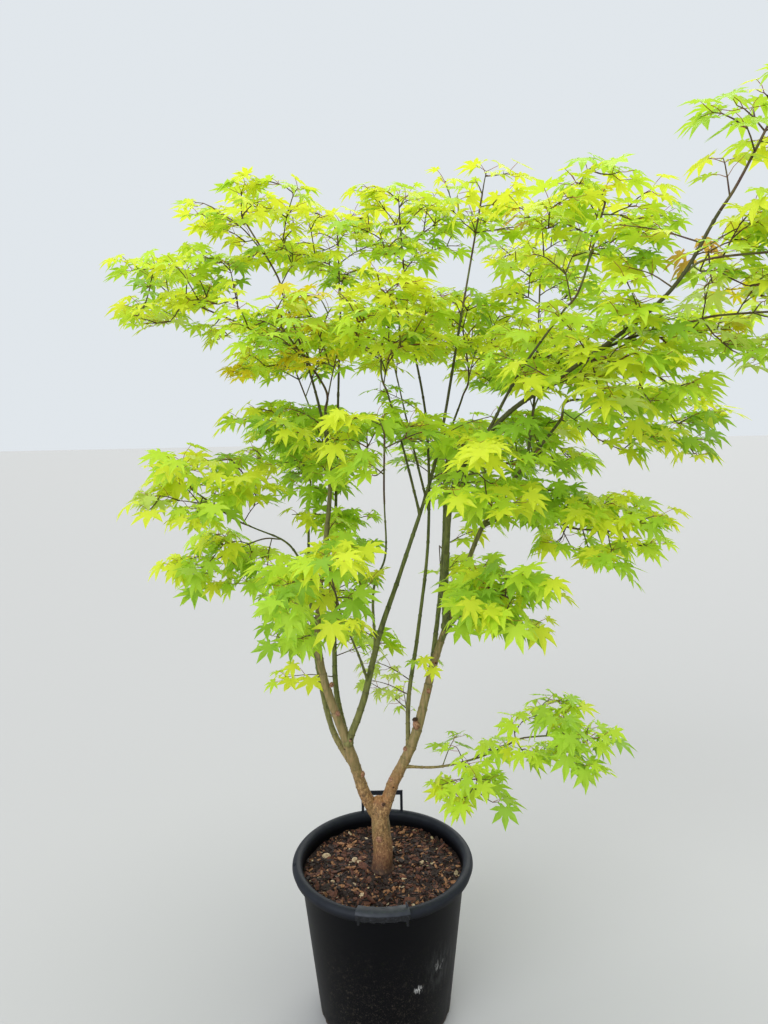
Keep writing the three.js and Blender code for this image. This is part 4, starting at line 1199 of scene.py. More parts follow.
@dataclass
class Mulch:
    """The potting soil and the bark chips that lie on it."""

    chips: int = 4600
    chip_kinds: int = 6
    rings: int = 56
    sectors: int = 150
    edge: float = 195.0
    seed: int = 11
    trunk_clear: float = 29.0
    tints: tuple[tuple[str, str, str, float], ...] = (
        ("dark", "#170e0a", "#2f1d15", 0.54),
        ("red_brown", "#3b2318", "#693c29", 0.32),
        ("tan", "#6b482f", "#a87850", 0.12),
        ("pale", "#9a8364", "#c6b494", 0.02),
    )
    stones: tuple[tuple[float, float, float], ...] = (
        (-142, 52, 9), (-70, 30, 8), (-58, 22, 6.5), (96, 20, 6), (-120, -52, 5.5),
    )

    def top(self, places: np.ndarray) -> np.ndarray:
        """The height of the soil at places given by x and y in millimetres.

        Args:
            places: one row for each place.

        Returns:
            One height for each.
        """
        flat = np.column_stack([places[:, 0], places[:, 1], np.zeros(len(places))])
        relief = 3.2 * value_noise(flat / 34, 3) + 1.6 * value_noise(flat / 11, 4)
        radius = np.hypot(places[:, 0], places[:, 1])
        mound = 2.5 * np.exp(-((radius / 60) ** 2))
        return SOIL_LEVEL - 3 + relief + mound + 0.8 * value_noise(flat / 4, 5)

    def bed(self) -> Object:
        """The soil as one closed body that fills the container under its crumbled top.

        Returns:
            The finished piece.
        """
        reach = np.linspace(0, 1, self.rings) ** 0.8 * self.edge
        turns = np.arange(self.sectors) * 2 * math.pi / self.sectors
        ring_x = np.outer(reach[1:], np.cos(turns)).ravel()
        ring_y = np.outer(reach[1:], np.sin(turns)).ravel()
        flat = np.column_stack([np.append(0, ring_x), np.append(0, ring_y)])
        upper = np.column_stack([flat, self.top(flat)])
        foot = BASE_RADIUS - WALL - GAP
        under = FLOOR + GAP
        lower = np.column_stack([foot * np.cos(turns), foot * np.sin(turns), np.full(self.sectors, under)])
        places = np.vstack([upper, lower, [[0, 0, under]]])
        last_ring = 1 + (self.rings - 1) * self.sectors
        crust = fan(0, 1, self.sectors)
        sides = 1 + tube_walls(self.rings, self.sectors)[:, ::-1]
        bottom = fan(len(places) - 1, last_ring, self.sectors)[:, ::-1]
        return mesh_piece("soil_bed", places, np.vstack([crust, sides, bottom]))

    def chip_shapes(self, draws: Draws) -> list[Shape]:
        """Broken flakes, shaped from blocks, as places within a unit size and triangles.

        Args:
            draws: the mulch's draws.

        Returns:
            One shape for each kind of chip.
        """
        shapes = []
        for _ in range(self.chip_kinds):
            block = begin("chip", bpy.ops.mesh.primitive_cube_add, size=1)
            with editing():
                bpy.ops.mesh.subdivide(number_cuts=1)
                bpy.ops.mesh.quads_convert_to_tris()
            places = np.array([tuple(vertex.co) for vertex in block.data.vertices])
            for place in places:
                place[0] *= draws.between(0.75, 1.15)
                place[1] *= draws.between(0.6, 1.15) * (1.1 - 0.7 * abs(place[0]))
                place[2] *= draws.between(0.5, 1.1)
                place[2] += 0.25 * place[0] ** 2
            faces = np.array([tuple(face.vertices) for face in block.data.polygons])
            shapes.append((places, faces))
            bpy.data.objects.remove(block)
        return shapes

    def scatter(self, draws: Draws) -> dict[int, list[Shape]]:
        """Turned and scaled chips over the soil, sorted by tint.

        Args:
            draws: the mulch's draws.

        Returns:
            The chips in their places, under their tint's number.
        """
        shapes = self.chip_shapes(draws)
        laid = {index: [] for index in range(len(self.tints))}
        shares = [tint[3] for tint in self.tints]
        for index in range(self.chips):
            away = math.sqrt((index + 0.5) / self.chips) * (self.edge - 3)
            turn = index * GOLDEN_ANGLE + draws.between(-0.4, 0.4)
            away = min(max(away + draws.between(-5, 5), 0), self.edge - 6)
            size = 4.5 + 13 * draws.next() ** 2.2 + (13 if draws.next() > 0.985 else 0)
            if away < self.trunk_clear + size / 3:
                continue
            places, faces = shapes[draws.pick([1] * len(shapes))]
            scaled = places * (size, size * draws.between(0.3, 0.6), size * draws.between(0.1, 0.24))
            tilt = draws.between(-1, 1) ** 3 * 0.9
            roll = draws.between(-1, 1) ** 3 * 0.9
            yaw = draws.between(0, math.pi)
            turned = scaled @ turn_matrix(tilt, roll, yaw).T
            x, y = away * math.cos(turn), away * math.sin(turn)
            lift = self.top(np.array([[x, y]]))[0] + 0.08 * size + draws.between(-0.6, 2.2)
            radius = np.hypot(turned[:, 0] + x, turned[:, 1] + y).max()
            if radius > self.edge - 1:
                continue
            laid[draws.pick(shares)].append((turned + (x, y, lift), faces))
        return laid

    def pebbles(self) -> Object:
        """A few pale stones that lie on the mulch left of the trunk, and one at its right.

        Returns:
            The finished piece.
        """
        stones = []
        for index, (x, y, size) in enumerate(self.stones):
            sphere = bpy.ops.mesh.primitive_ico_sphere_add
            stone = begin("pebble", sphere, subdivisions=3, radius=size * MM)
            for vertex in stone.data.vertices:
                bump = value_noise(np.array([tuple(vertex.co / (0.9 * size * MM))]) + 7 * index, 9)[0]
                vertex.co *= 1 + 0.22 * bump
            stone.scale = (1.15, 0.9, 0.62)
            stone.rotation_euler = (0.2, 0.1, index * 1.3)
            height = self.top(np.array([[x, y]], float))[0] + 0.45 * size
            stone.location = (x * MM, y * MM, height * MM)
            stones.append(settle(stone))
        return smooth(join("pebbles", stones), 60)

    def build(self) -> None:
        """Makes the soil, the chips of each tint and the stones."""
        report(self.bed(), "mulch", damp_substrate(), "soil")
        report(self.pebbles(), "mulch", weathered_stone())
        laid = self.scatter(Draws(self.seed))
        for index, (name, dark, light, _) in enumerate(self.tints):
            places, faces = merged(laid[index])
            chips = flat_faces(mesh_piece(f"bark_chips_{name}", places, faces))
            report(chips, "mulch", bark_chip(f"bark_chip_{name}", dark, light))


def turn_matrix(tilt: float, roll: float, yaw: float) -> np.ndarray:
    """A turn about X, then Y, then Z.

    Args:
        tilt: the turn about X, in radians.
        roll: the one about Y.
        yaw: the one about Z.

    Returns:
        The matrix of all three.
    """
    cx, sx, cy, sy, cz, sz = (
        fn(angle) for angle in (tilt, roll, yaw) for fn in (math.cos, math.sin)
    )
    about_x = np.array([[1, 0, 0], [0, cx, -sx], [0, sx, cx]])
    about_y = np.array([[cy, 0, sy], [0, 1, 0], [-sy, 0, cy]])
    about_z = np.array([[cz, -sz, 0], [sz, cz, 0], [0, 0, 1]])
    return about_z @ about_y @ about_x


def merged(parts: Sequence[Shape]) -> Shape:
    """Several meshes' places and faces as one."""
    starts = np.cumsum([0] + [len(places) for places, _ in parts[:-1]])
    places = np.vstack([places for places, _ in parts])
    faces = np.vstack([faces + start for (_, faces), start in zip(parts, starts)])
    return places, faces


def rings_round(along: np.ndarray, chord: np.ndarray, sides: int) -> np.ndarray:
    """Circles of radius one square to a line.

    Args:
        along: the line's direction at each ring.
        chord: the way from its start to its end, which the first corner keeps clear of.
        sides: corners in a ring.

    Returns:
        The corners of each ring, about its middle.
    """
    reference = np.eye(3)[int(np.argmin(np.abs(chord)))]
    across = unit(np.cross(reference, along))
    third = np.cross(along, across)
    turns = np.arange(sides) * 2 * math.pi / sides
    return across[:, None] * np.cos(turns)[None, :, None] + third[:, None] * np.sin(turns)[None, :, None]


def tube_walls(rings: int, sides: int) -> np.ndarray:
    """The triangles between the rings of a tube."""
    here = np.arange(sides)
    base = np.arange(rings - 1)[:, None] * sides
    a, b = base + here, base + (here + 1) % sides
    c, d = b + sides, a + sides
    return np.concatenate([np.stack([a, b, c], -1), np.stack([a, c, d], -1)]).reshape(-1, 3)


def fan(middle: int, first: int, sides: int) -> np.ndarray:
    """The triangles from a middle to the ring whose first place is given, all by number."""
    here = np.arange(sides)
    return np.column_stack([np.full(sides, middle), first + here, first + (here + 1) % sides])


def tube_mesh(curve: Spline, shares: np.ndarray, radii: np.ndarray, sides: int) -> Shape:
    """A closed tube round a curve, as places and triangles.

    Args:
        curve: the middle line.
        shares: where along the curve the rings stand, from 0 to 1.
        radii: each ring's radius, or one row of radii for each ring.
        sides: corners in a ring.

    Returns:
        The places in millimetres and the triangles.
    """
    middle = curve.at(shares)
    ring = rings_round(curve.along(shares), curve.at(1.0)[0] - curve.at(0.0)[0], sides)
    spread = np.broadcast_to(np.asarray(radii, float).reshape(len(shares), -1), (len(shares), sides))
    places = (middle[:, None] + ring * spread[:, :, None]).reshape(-1, 3)
    places = np.vstack([places, middle[0], middle[-1]])
    first = fan(len(places) - 2, 0, sides)[:, ::-1]
    last = fan(len(places) - 1, (len(shares) - 1) * sides, sides)
    return places, np.vstack([tube_walls(len(shares), sides), first, last])


def thin_tube(points: np.ndarray, thick: float, thin: float, sides: int) -> Shape:
    """A closed tapering tube through a few points, straight from ring to ring.

    Args:
        points: the middle of each ring.
        thick: the first ring's radius.
        thin: the last ring's radius.
        sides: corners in a ring.

    Returns:
        The places in millimetres and the triangles.
    """
    ring = rings_round(unit(np.gradient(points, axis=0)), points[-1] - points[0], sides)
    radii = np.linspace(thick, thin, len(points))[:, None, None]
    places = (points[:, None] + ring * radii).reshape(-1, 3)
    fans = [[0, corner + 1, corner] for corner in range(1, sides - 1)]
    end = (len(points) - 1) * sides
    fans += [[end, end + corner, end + corner + 1] for corner in range(1, sides - 1)]
    return places, np.vstack([tube_walls(len(points), sides), fans])


@dataclass(frozen=True)
class CutPlan:
    """One healed cut: its place on the bark, the way it faces, its radius and height in millimetres."""

    place: Point
    way: Point
    radius: float
    height: float
    open_heart: bool = True


CUTS = (
    CutPlan((5, -18, 533), (0.1, -0.95, 0.3), 6.2, 3.2),
    CutPlan((30, -13, 574), (0.11, -0.99, 0), 4.2, 1.4),
    CutPlan((-42, -11, 608), (0.9, -0.4, 0.18), 4.8, 3.6, False),
    CutPlan((-81, -19, 677), (-0.86, -0.4, -0.3), 4.6, 3.6),
    CutPlan((-70, -25, 700), (0.3, -0.6, 0.75), 4.4, 7.0),
    CutPlan((24, -6, 591), (-0.79, -0.47, 0.4), 4.2, 3.2, False),
    CutPlan((88, 4, 724), (-0.26, -0.3, 0.92), 9.6, 17.0),
    CutPlan((60, 2, 664), (-0.88, -0.2, 0.42), 4.2, 4.2, False),
    CutPlan((-7, -23, 445), (-0.24, -0.97, 0), 4.4, 1.2, False),
    CutPlan((-97, -38, 772), (-0.6, -0.8, 0.1), 4.0, 2.6, False),
    CutPlan((-108, -36, 842), (0.8, -0.6, 0.1), 4.0, 3.0, False),
    CutPlan((118, 6, 806), (-0.8, -0.6, 0.1), 4.2, 2.8, False),
    CutPlan((136, 14, 872), (0.5, -0.85, 0), 3.8, 2.4),
)


@dataclass
class Wood:
    """The trunk and the boughs, with bark relief, collars, rings and old pruning scars."""

    limbs: dict[str, Limb]
    ring_step: float = 3.0
    voxel: float = 1.35
    overlap: float = 26.0
    slimming: float = 0.3
    fissure: float = 0.2
    collar_share: float = 0.45
    collar_length: float = 9.0
    node_step: tuple[float, float] = (38, 84)
    node_swell: float = 0.6
    trunk_sides: int = 40
    root_sides: int = 28

    def bough_radii(
        self,
        limb: Limb,
        shares: np.ndarray,
        parent_radius: float,
        draws: Draws,
    ) -> tuple[np.ndarray, np.ndarray]:
        """A bough's ring radii with its collar, and how much each ring lies in an old bud scar.

        Args:
            limb: the bough.
            shares: where its rings stand, from 0 to 1.
            parent_radius: the radius of the limb that it leaves.
            draws: the bough's draws.

        Returns:
            A radius and a scar value for each ring.
        """
        way = shares * limb.length
        slimmed = 1 - self.slimming * np.clip((shares - 0.3) / 0.7, 0, 1)
        radii = limb.radius(shares) * slimmed * (0.78 if limb.thick < 5.5 else 1)
        if not limb.cut:
            clear = np.maximum(way - parent_radius, 0)
            radii = radii * (1 + self.collar_share * np.exp(-clear / self.collar_length))
        scar = np.zeros(len(shares))
        node = draws.between(*self.node_step)
        while node < limb.length - 15:
            swell = self.node_swell + 0.05 * float(limb.radius(node / limb.length))
            radii = radii + swell * np.exp(-(((way - node) / 2.6) ** 2))
            groove = np.exp(-(((way - node - 4) / 1.8) ** 2))
            radii = radii - 0.6 * swell * groove
            scar = np.maximum(scar, groove * draws.between(0.4, 1))
            node += draws.between(*self.node_step)
        return radii, scar

    def bough(self, limb: Limb, parent_radius: float, index: int) -> Object:
        """One bough with its bark's fine relief.

        Args:
            limb: the bough.
            parent_radius: the radius of the limb it leaves, where it leaves it.
            index: which bough it is, for its own draws.

        Returns:
            The finished piece.
        """
        start = max(0.0, limb.cut - self.overlap / limb.length) if limb.cut else 0.0
        rings = max(8, round(limb.length * (1 - start) / self.ring_step))
        shares = np.linspace(start, 1, rings)
        sides = 22 if limb.thick > 12 else 16 if limb.thick > 7 else 12
        radii, scar = self.bough_radii(limb, shares, parent_radius, Draws(101 + index))
        places, faces = tube_mesh(limb.curve, shares, radii, sides)
        middle = limb.curve.at(np.repeat(shares, sides))
        body = places[: len(middle)]
        away = unit(body - middle)
        long_grain = value_noise(body / (5, 5, 26), 20 + index)
        lumps = value_noise(body / 17, 60 + index)
        depth = np.minimum(0.07 * np.repeat(radii, sides), 0.8)
        places[: len(middle)] = body + away * (depth * (0.7 * long_grain + 0.8 * lumps))[:, None]
        piece = mesh_piece(f"{limb.name}_bark", places, faces)
        rings_marked = np.append(np.repeat(scar, sides), (0, 0)).astype(np.float32)
        piece.data.attributes.new(BUD_SCAR, "FLOAT", "POINT").data.foreach_set("value", rings_marked)
        return piece

    def trunk_tube(self) -> Shape:
        """The trunk's own tube, from just under the soil to the fork.

        Returns:
            The tube's places and triangles.
        """
        trunk = self.limbs["trunk"]
        shares = np.linspace(0, 1, 60)
        height = shares * (TRUNK_TOP - SOIL_LEVEL)
        low, high = TRUNK_RADII
        radii = low + (high - low) * shares + FLARE * np.exp(-height / FLARE_HEIGHT)
        places, faces = tube_mesh(trunk.curve, shares, radii, self.trunk_sides)
        places[:, 2] -= 6 * (places[:, 2] < SOIL_LEVEL + 2)
        return places, faces

    def cut(self, plan: CutPlan, number: int) -> Object:
        """One healed cut: a collar of bark round a hollow, or grown over to a knob.

        Args:
            plan: its place, way and size.
            number: which cut it is, for its own bumps.

        Returns:
            The cut in its place.
        """
        cone = bpy.ops.mesh.primitive_cone_add
        low, high, tall = plan.radius * 1.8 * MM, plan.radius * MM, 2 * plan.height * MM
        cut = begin("healed_cut", cone, vertices=14, radius1=low, radius2=high, depth=tall)
        for face in cut.data.polygons:
            face.select = face.normal.z > 0.9
        sink = -0.5 if plan.open_heart else 0.12
        with editing():
            for thickness, depth in ((0.32, 0.16), (0.24, sink), (0.2, 0)):
                bpy.ops.mesh.inset(thickness=thickness * plan.radius * MM, depth=depth * plan.radius * MM)
        round_off = cut.modifiers.new("round_off", "SUBSURF")
        round_off.levels = 2
        return self.put(settle(cut), plan, 0, number)

    def heart(self, plan: CutPlan, number: int) -> Object:
        """The dry wood that shows in the hollow of one open cut, dark partly as painted shade of the hollow.

        Args:
            plan: its place, way and size.
            number: which cut it is, for its own bumps.

        Returns:
            The wood in its place.
        """
        sphere = bpy.ops.mesh.primitive_uv_sphere_add
        heart = begin("heart", sphere, segments=16, ring_count=10, radius=0.66 * plan.radius * MM)
        heart.scale = (1, 1, 0.5)
        return self.put(settle(heart), plan, plan.height - 0.16 * plan.radius, number)

    def put(self, piece: Object, plan: CutPlan, rise: float, number: int) -> Object:
        """Gives a round piece its own bumps and sets it on the bark, raised by so many millimetres.

        Args:
            piece: the round piece, at the origin.
            plan: the cut that it belongs to.
            rise: how far it is raised.
            number: which cut it is, for its own bumps.

        Returns:
            The piece in its place.
        """
        places = np.array([tuple(vertex.co) for vertex in piece.data.vertices]) / MM
        bumps = value_noise(places / (0.7 * plan.radius) + 13.7 * number, 31)
        for vertex, bump in zip(piece.data.vertices, bumps):
            vertex.co *= 1 + 0.12 * float(bump)
        way = Vector(plan.way).normalized()
        piece.rotation_euler = way.to_track_quat("Z", "Y").to_euler()
        piece.location = (Vector(plan.place) + way * rise) * MM
        return settle(piece)

    def healed_cuts(self) -> Object:
        """All the healed cuts, as one piece."""
        return smooth(join("healed_cuts", [self.cut(plan, number) for number, plan in enumerate(CUTS)]), 60)

    def open_hearts(self) -> Object:
        """The dark wood in all the open cuts, as one piece, nearly black partly as painted shade of their
        hollows.
        """
        hearts = [self.heart(plan, number) for number, plan in enumerate(CUTS) if plan.open_heart]
        return smooth(join("open_hearts", hearts), 60)

    def crotch(self) -> Object:
        """The lump of an old cut leader that fills the fork of the two main boughs."""
        lump = begin("crotch", bpy.ops.mesh.primitive_uv_sphere_add, segments=24, ring_count=14, radius=MM)
        lump.scale = (25, 17, 33)
        lump.location = (-5 * MM, -2 * MM, 515 * MM)
        return settle(lump)

    def trunk(self) -> Object:
        """The trunk with the roots of both main boughs, melted into one skin with bark relief.

        Returns:
            The finished piece.
        """
        parts = [mesh_piece("trunk", *self.trunk_tube())]
        for limb in self.limbs.values():
            if not limb.cut:
                continue
            shares = np.linspace(0, limb.cut, 30)
            root = tube_mesh(limb.curve, shares, limb.radius(shares), self.root_sides)
            parts.append(mesh_piece(f"{limb.name}_root", *root))
        whole = join("trunk_bark", parts + [self.crotch()])
        melt = whole.modifiers.new("melt", "REMESH")
        melt.mode = "VOXEL"
        melt.voxel_size = self.voxel * MM
        soften = whole.modifiers.new("soften", "SMOOTH")
        soften.factor = 0.5
        soften.iterations = 22
        self.carve(settle(whole))
        return smooth(whole, 60)

    def carve(self, whole: Object) -> None:
        """Moves the trunk's skin in and out: short cracks, low plates, lumps and cross wrinkles.

        Args:
            whole: the trunk, whose vertices are moved.
        """
        count = len(whole.data.vertices)
        places = np.empty(count * 3, np.float32)
        normals = np.empty(count * 3, np.float32)
        whole.data.vertices.foreach_get("co", places)
        whole.data.vertices.foreach_get("normal", normals)
        points = places.reshape(-1, 3).astype(float) / MM
        sways = [value_noise(points / 30, 7), value_noise(points / 30, 8), np.zeros(count)]
        sway = np.column_stack(sways) * 5
        cracks = 1 - np.abs(value_noise((points + sway) / (6, 6, 16), 1))
        fine = 1 - np.abs(value_noise((points + sway) / (2.6, 2.6, 6), 2))
        plates = value_noise(points / (13, 13, 18), 3)
        lumps = value_noise(points / (30, 30, 36), 5)
        wrinkles = value_noise(points / (9, 9, 3.2), 4)
        depth = -self.fissure * np.maximum(cracks - 0.82, 0) / 0.18 - 0.25 * np.maximum(fine - 0.8, 0) / 0.2
        depth += 0.4 * plates + 0.22 * wrinkles + 0.9 * lumps + 0.1
        fade = np.clip((600 - points[:, 2]) / 80, 0.25, 1)
        moved = points + normals.reshape(-1, 3) * (depth * fade)[:, None]
        whole.data.vertices.foreach_set("co", (moved * MM).astype(np.float32).ravel())
        whole.data.update()

    def build(self, plans: Sequence[LimbPlan]) -> None:
        """Makes and dresses the trunk and every bough.

        Args:
            plans: the boughs, in the order they are made in.
        """
        report(self.trunk(), "trunk_bark", maple_bark("trunk_bark", 800, 1500), "trunk")
        old_bark = maple_bark("bough_bark", 800, 1500)
        young_bark = maple_bark("stem_bark", 440, 860)
        shoot_bark = maple_bark("shoot_bark", 100, 300)
        report(self.healed_cuts(), "bough_bark", callus_bark())
        report(self.open_hearts(), "bough_bark", open_heartwood())
        for index, plan in enumerate(plans):
            parent = self.limbs[plan.parent]
            parent_radius = float(parent.radius(plan.at)) if plan.parent != "trunk" else TRUNK_RADII[1]
            piece = self.bough(self.limbs[plan.name], parent_radius, index)
            bark = old_bark if plan.cut else young_bark if plan.thick > 5.5 else shoot_bark
            report(piece, "bough_bark", bark, plan.name)


def make_limbs() -> dict[str, Limb]:
    """Every limb's curve, each starting from its parent's, as in the part's source.

    Returns:
        The trunk and the limbs, by name.
    """
    foot = SOIL_LEVEL + GAP
    lean = ((0, 0), (0, 14), (2, 48), (-2, 100))
    line = Spline([*((x, 0, foot + rise) for x, rise in lean), (-5, 0, TRUNK_TOP)])
    limbs = {"trunk": Limb("trunk", line, TRUNK_RADII[0], TRUNK_RADII[1], 1.0)}
    for plan in LIMBS:
        start = tuple(limbs[plan.parent].curve.at(plan.at)[0])
        curve = Spline([start, *plan.through])
        limbs[plan.name] = Limb(plan.name, curve, plan.thick, plan.thin, cut=plan.cut)
    return limbs


@dataclass
class Space:
    """The room each mass of foliage keeps to: flattened balls parted half way between neighbours."""

    middles: np.ndarray
    radii: np.ndarray

    def depth(self, index: int, points: np.ndarray) -> np.ndarray:
        """How far points lie inside one mass's space, in millimetres.

        Args:
            index: which mass it is.
            points: one row for each point.

        Returns:
            One depth for each point, under 0 where it lies outside.
        """
        squash = np.array([1, 1, 1 / FLATNESS])
        away = (points[:, None, :] - self.middles[None]) * squash
        power = (away**2).sum(-1) - self.radii**2
        own = power[:, index]
        depth = self.radii[index] - np.linalg.norm(away[:, index], axis=1)
        between = (self.middles - self.middles[index]) * np.array([1, 1, 1 / FLATNESS**2])
        apart = np.linalg.norm(between, axis=1)
        apart[index] = 1
        sides = (power - own[:, None]) / (2 * apart)
        sides[:, index] = np.inf
        return np.minimum(depth, sides.min(axis=1))


@dataclass
class Pieces:
    """Straight pieces of all the limbs and stems, for measuring how near something comes."""

    starts: np.ndarray
    ends: np.ndarray
    radii: np.ndarray
    owners: np.ndarray

    @classmethod
    def of(cls, limbs: Iterable[Limb]) -> Pieces:
        """The pieces of limbs, cut as in the part's source.

        Args:
            limbs: the limbs and stems.

        Returns:
            All their pieces.
        """
        starts, ends, radii, owners = [], [], [], []
        for limb in limbs:
            count = max(3, math.ceil(limb.length / PIECE_LENGTH))
            shares = np.arange(count) / count
            starts.append(limb.curve.at(shares))
            ends.append(limb.curve.at(shares + 1 / count))
            radii.append(limb.radius(shares) * 1.05)
            owners += [limb.name] * count
        return cls(np.vstack(starts), np.vstack(ends), np.concatenate(radii), np.array(owners))

    def gap(self, points: np.ndarray, own: str) -> np.ndarray:
        """The distance from each point to the nearest bark, but for an owner's own pieces.

        Args:
            points: one row for each point.
            own: the owner whose pieces don't count.

        Returns:
            One distance for each point, under 0 inside bark.
        """
        keep = self.owners != own
        starts, way = self.starts[keep], (self.ends - self.starts)[keep]
        share = ((points[:, None] - starts) * way).sum(-1) / (way**2).sum(-1)
        nearest = starts + way * np.clip(share, 0, 1)[..., None]
        return (np.linalg.norm(points[:, None] - nearest, axis=-1) - self.radii[keep]).min(axis=1)


@dataclass(frozen=True)
class Leaf:
    """The blade of one kind of leaf at unit length, its base at the origin and its tip along +Y.

    The teeth along a real blade's edge are under a millimetre, too fine to draw at this size.
    """

    droop: float
    fold: float
    cup: float
    width: float
    lobes: tuple[tuple[float, float], ...] = (
        (-118, 0.40), (-79, 0.70), (-39, 0.92), (0, 1.0), (39, 0.92), (79, 0.70), (118, 0.40),
    )
    notch: float = 0.37
    hub_turn: float = 0.32
    belly: float = 0.56
    neck: float = 0.8
    neck_width: float = 0.42

    def shape(self) -> Shape:
        """The blade's places and triangles.

        Returns:
            The places at unit length and the triangles.
        """
        rim: list[Point] = []
        ribs: list[Point] = []
        faces: list[tuple[int, int, int]] = []
        turns = [math.radians(turn) for turn, _ in self.lobes]
        between = [(a + b) / 2 for a, b in zip(turns, turns[1:])]
        splits = [turns[0] - self.hub_turn, *between, turns[-1] + self.hub_turn]
        neck, wide = self.neck, self.neck_width
        edge = ((self.belly, -1), (neck, -wide), (1, 0), (neck, wide), (self.belly, 1))
        per_lobe = 1 + len(edge)
        for index, (turn, (_, length)) in enumerate(zip(turns, self.lobes)):
            before = self.notch * min(length, self.lobes[max(index - 1, 0)][1]) ** 0.5
            half = self.width * length
            outline = [(before, splits[index], 1)]
            outline += [(far * length, turn + side * half / far / length, 0) for far, side in edge]
            for reach, angle, valley in outline:
                off = abs(math.sin(angle - turn)) * reach
                rise = self.fold * off - self.droop * reach**2 - self.cup * valley
                rim.append((math.sin(angle) * reach, math.cos(angle) * reach, rise))
            mid = 0.5 * length
            ribs.append((math.sin(turn) * mid, math.cos(turn) * mid, -self.droop * mid**2))
        last = self.notch * self.lobes[-1][1] ** 0.5
        rim.append((math.sin(splits[-1]) * last, math.cos(splits[-1]) * last, -self.cup))
        hub = 0
        first = 1
        rib_first = 1 + len(rim)
        for index in range(len(self.lobes)):
            base = first + index * per_lobe
            rib = rib_first + index
            chain = [base + step for step in range(per_lobe)] + [base + per_lobe]
            for left, right in zip(chain, chain[1:]):
                faces.append((rib, right, left))
            faces.append((hub, rib, chain[0]))
            faces.append((hub, chain[-1], rib))
        places = np.array([(0.0, 0.0, 0.0), *rim, *ribs])
        return places, np.array(faces)


LEAF_KINDS = (
    Leaf(droop=0.12, fold=0.30, cup=0.04, width=0.150),
    Leaf(droop=0.22, fold=0.20, cup=0.03, width=0.160),
    Leaf(droop=0.05, fold=0.40, cup=0.05, width=0.140),
    Leaf(droop=0.32, fold=0.30, cup=0.04, width=0.148),
    Leaf(droop=-0.04, fold=0.25, cup=0.03, width=0.160),
)


@dataclass(frozen=True)
class Opening:
    """A gap through the crown from front to back, where bare stems show, in millimetres."""

    middle: tuple[float, float]
    wide: float
    high: float
    slope: float

    def holds(self, point: np.ndarray) -> bool:
        """Whether a point lies in the gap, which sinks towards the back."""
        across = (point[0] - self.middle[0] - 0.04 * point[1]) / self.wide
        upward = (point[2] - self.middle[1] - self.slope * point[1]) / self.high
        return abs(across) ** 3 + abs(upward) ** 3 < 1


OPENINGS = (
    Opening((84, 1132), 76, 238, -0.19),
    Opening((-60, 1520), 62, 42, -0.02),
    Opening((-250, 1210), 60, 50, -0.15),
)


def in_opening(point: np.ndarray) -> bool:
    """Whether a point lies in any of the gaps."""
    return any(opening.holds(point) for opening in OPENINGS)


@dataclass(frozen=True)
class SprigPlan:
    """Small shoots along part of a bough: how many, how long, their colours and leaf size."""

    limb: str
    low: float
    high: float
    count: int
    length: tuple[float, float]
    palette: Palette
    size: float = 1.0


SPRIGS = (
    SprigPlan("long_bough", 0.04, 0.45, 14, (110, 190), Palette.BRIGHT),
    SprigPlan("long_bough", 0.55, 0.97, 9, (80, 150), Palette.SUNLIT),
    SprigPlan("right_bough", 0.6, 0.97, 8, (110, 190), Palette.LIME),
    SprigPlan("right_low_bough", 0.1, 0.95, 8, (80, 150), Palette.LIME),
    SprigPlan("front_right_bough", 0.25, 0.95, 5, (80, 140), Palette.LIME),
    SprigPlan("far_right_bough", 0.1, 0.9, 6, (80, 150), Palette.BRIGHT),
    SprigPlan("back_right_stem", 0.3, 0.8, 5, (90, 150), Palette.LIME),
    SprigPlan("inner_right_stem", 0.1, 0.34, 5, (70, 115), Palette.PALE, 0.66),
    SprigPlan("back_right_stem", 0.04, 0.3, 4, (70, 110), Palette.PALE, 0.66),
    SprigPlan("front_left_stem", 0.35, 0.75, 5, (80, 140), Palette.LIME),
    SprigPlan("back_left_stem", 0.3, 0.8, 6, (80, 140), Palette.LIME),
    SprigPlan("outer_left_stem", 0.45, 0.95, 6, (80, 140), Palette.LIME),
    SprigPlan("left_bough", 0.6, 0.97, 8, (80, 150), Palette.LIME),
    SprigPlan("left_bough", 0.84, 0.98, 4, (70, 130), Palette.BRIGHT, 0.8),
    SprigPlan("back_left_stem", 0.64, 0.86, 5, (80, 140), Palette.LIME, 0.8),
    SprigPlan("front_left_stem", 0.7, 0.86, 4, (70, 130), Palette.LIME, 0.8),
    SprigPlan("inner_right_stem", 0.56, 0.85, 6, (80, 140), Palette.LIME, 0.8),
    SprigPlan("low_branch", 0.3, 0.8, 3, (50, 90), Palette.LIME, 0.85),
)


@dataclass
class Shoot:
    """One leafy shoot: its line and length, the tints of its leaves and of its tip, and their size."""

    line: Spline
    length: float
    tint: int
    tip_tint: int
    size: float = 1.0


@dataclass
class Grown:
    """What the crown has grown so far, sorted into the pieces it will be joined to."""

    twigs: list[Shape] = field(default_factory=list)
    stalks: list[Shape] = field(default_factory=list)
    leaves: list[list[tuple[np.ndarray, ...]]] = field(default_factory=lambda: [[] for _ in LEAF_TINTS])


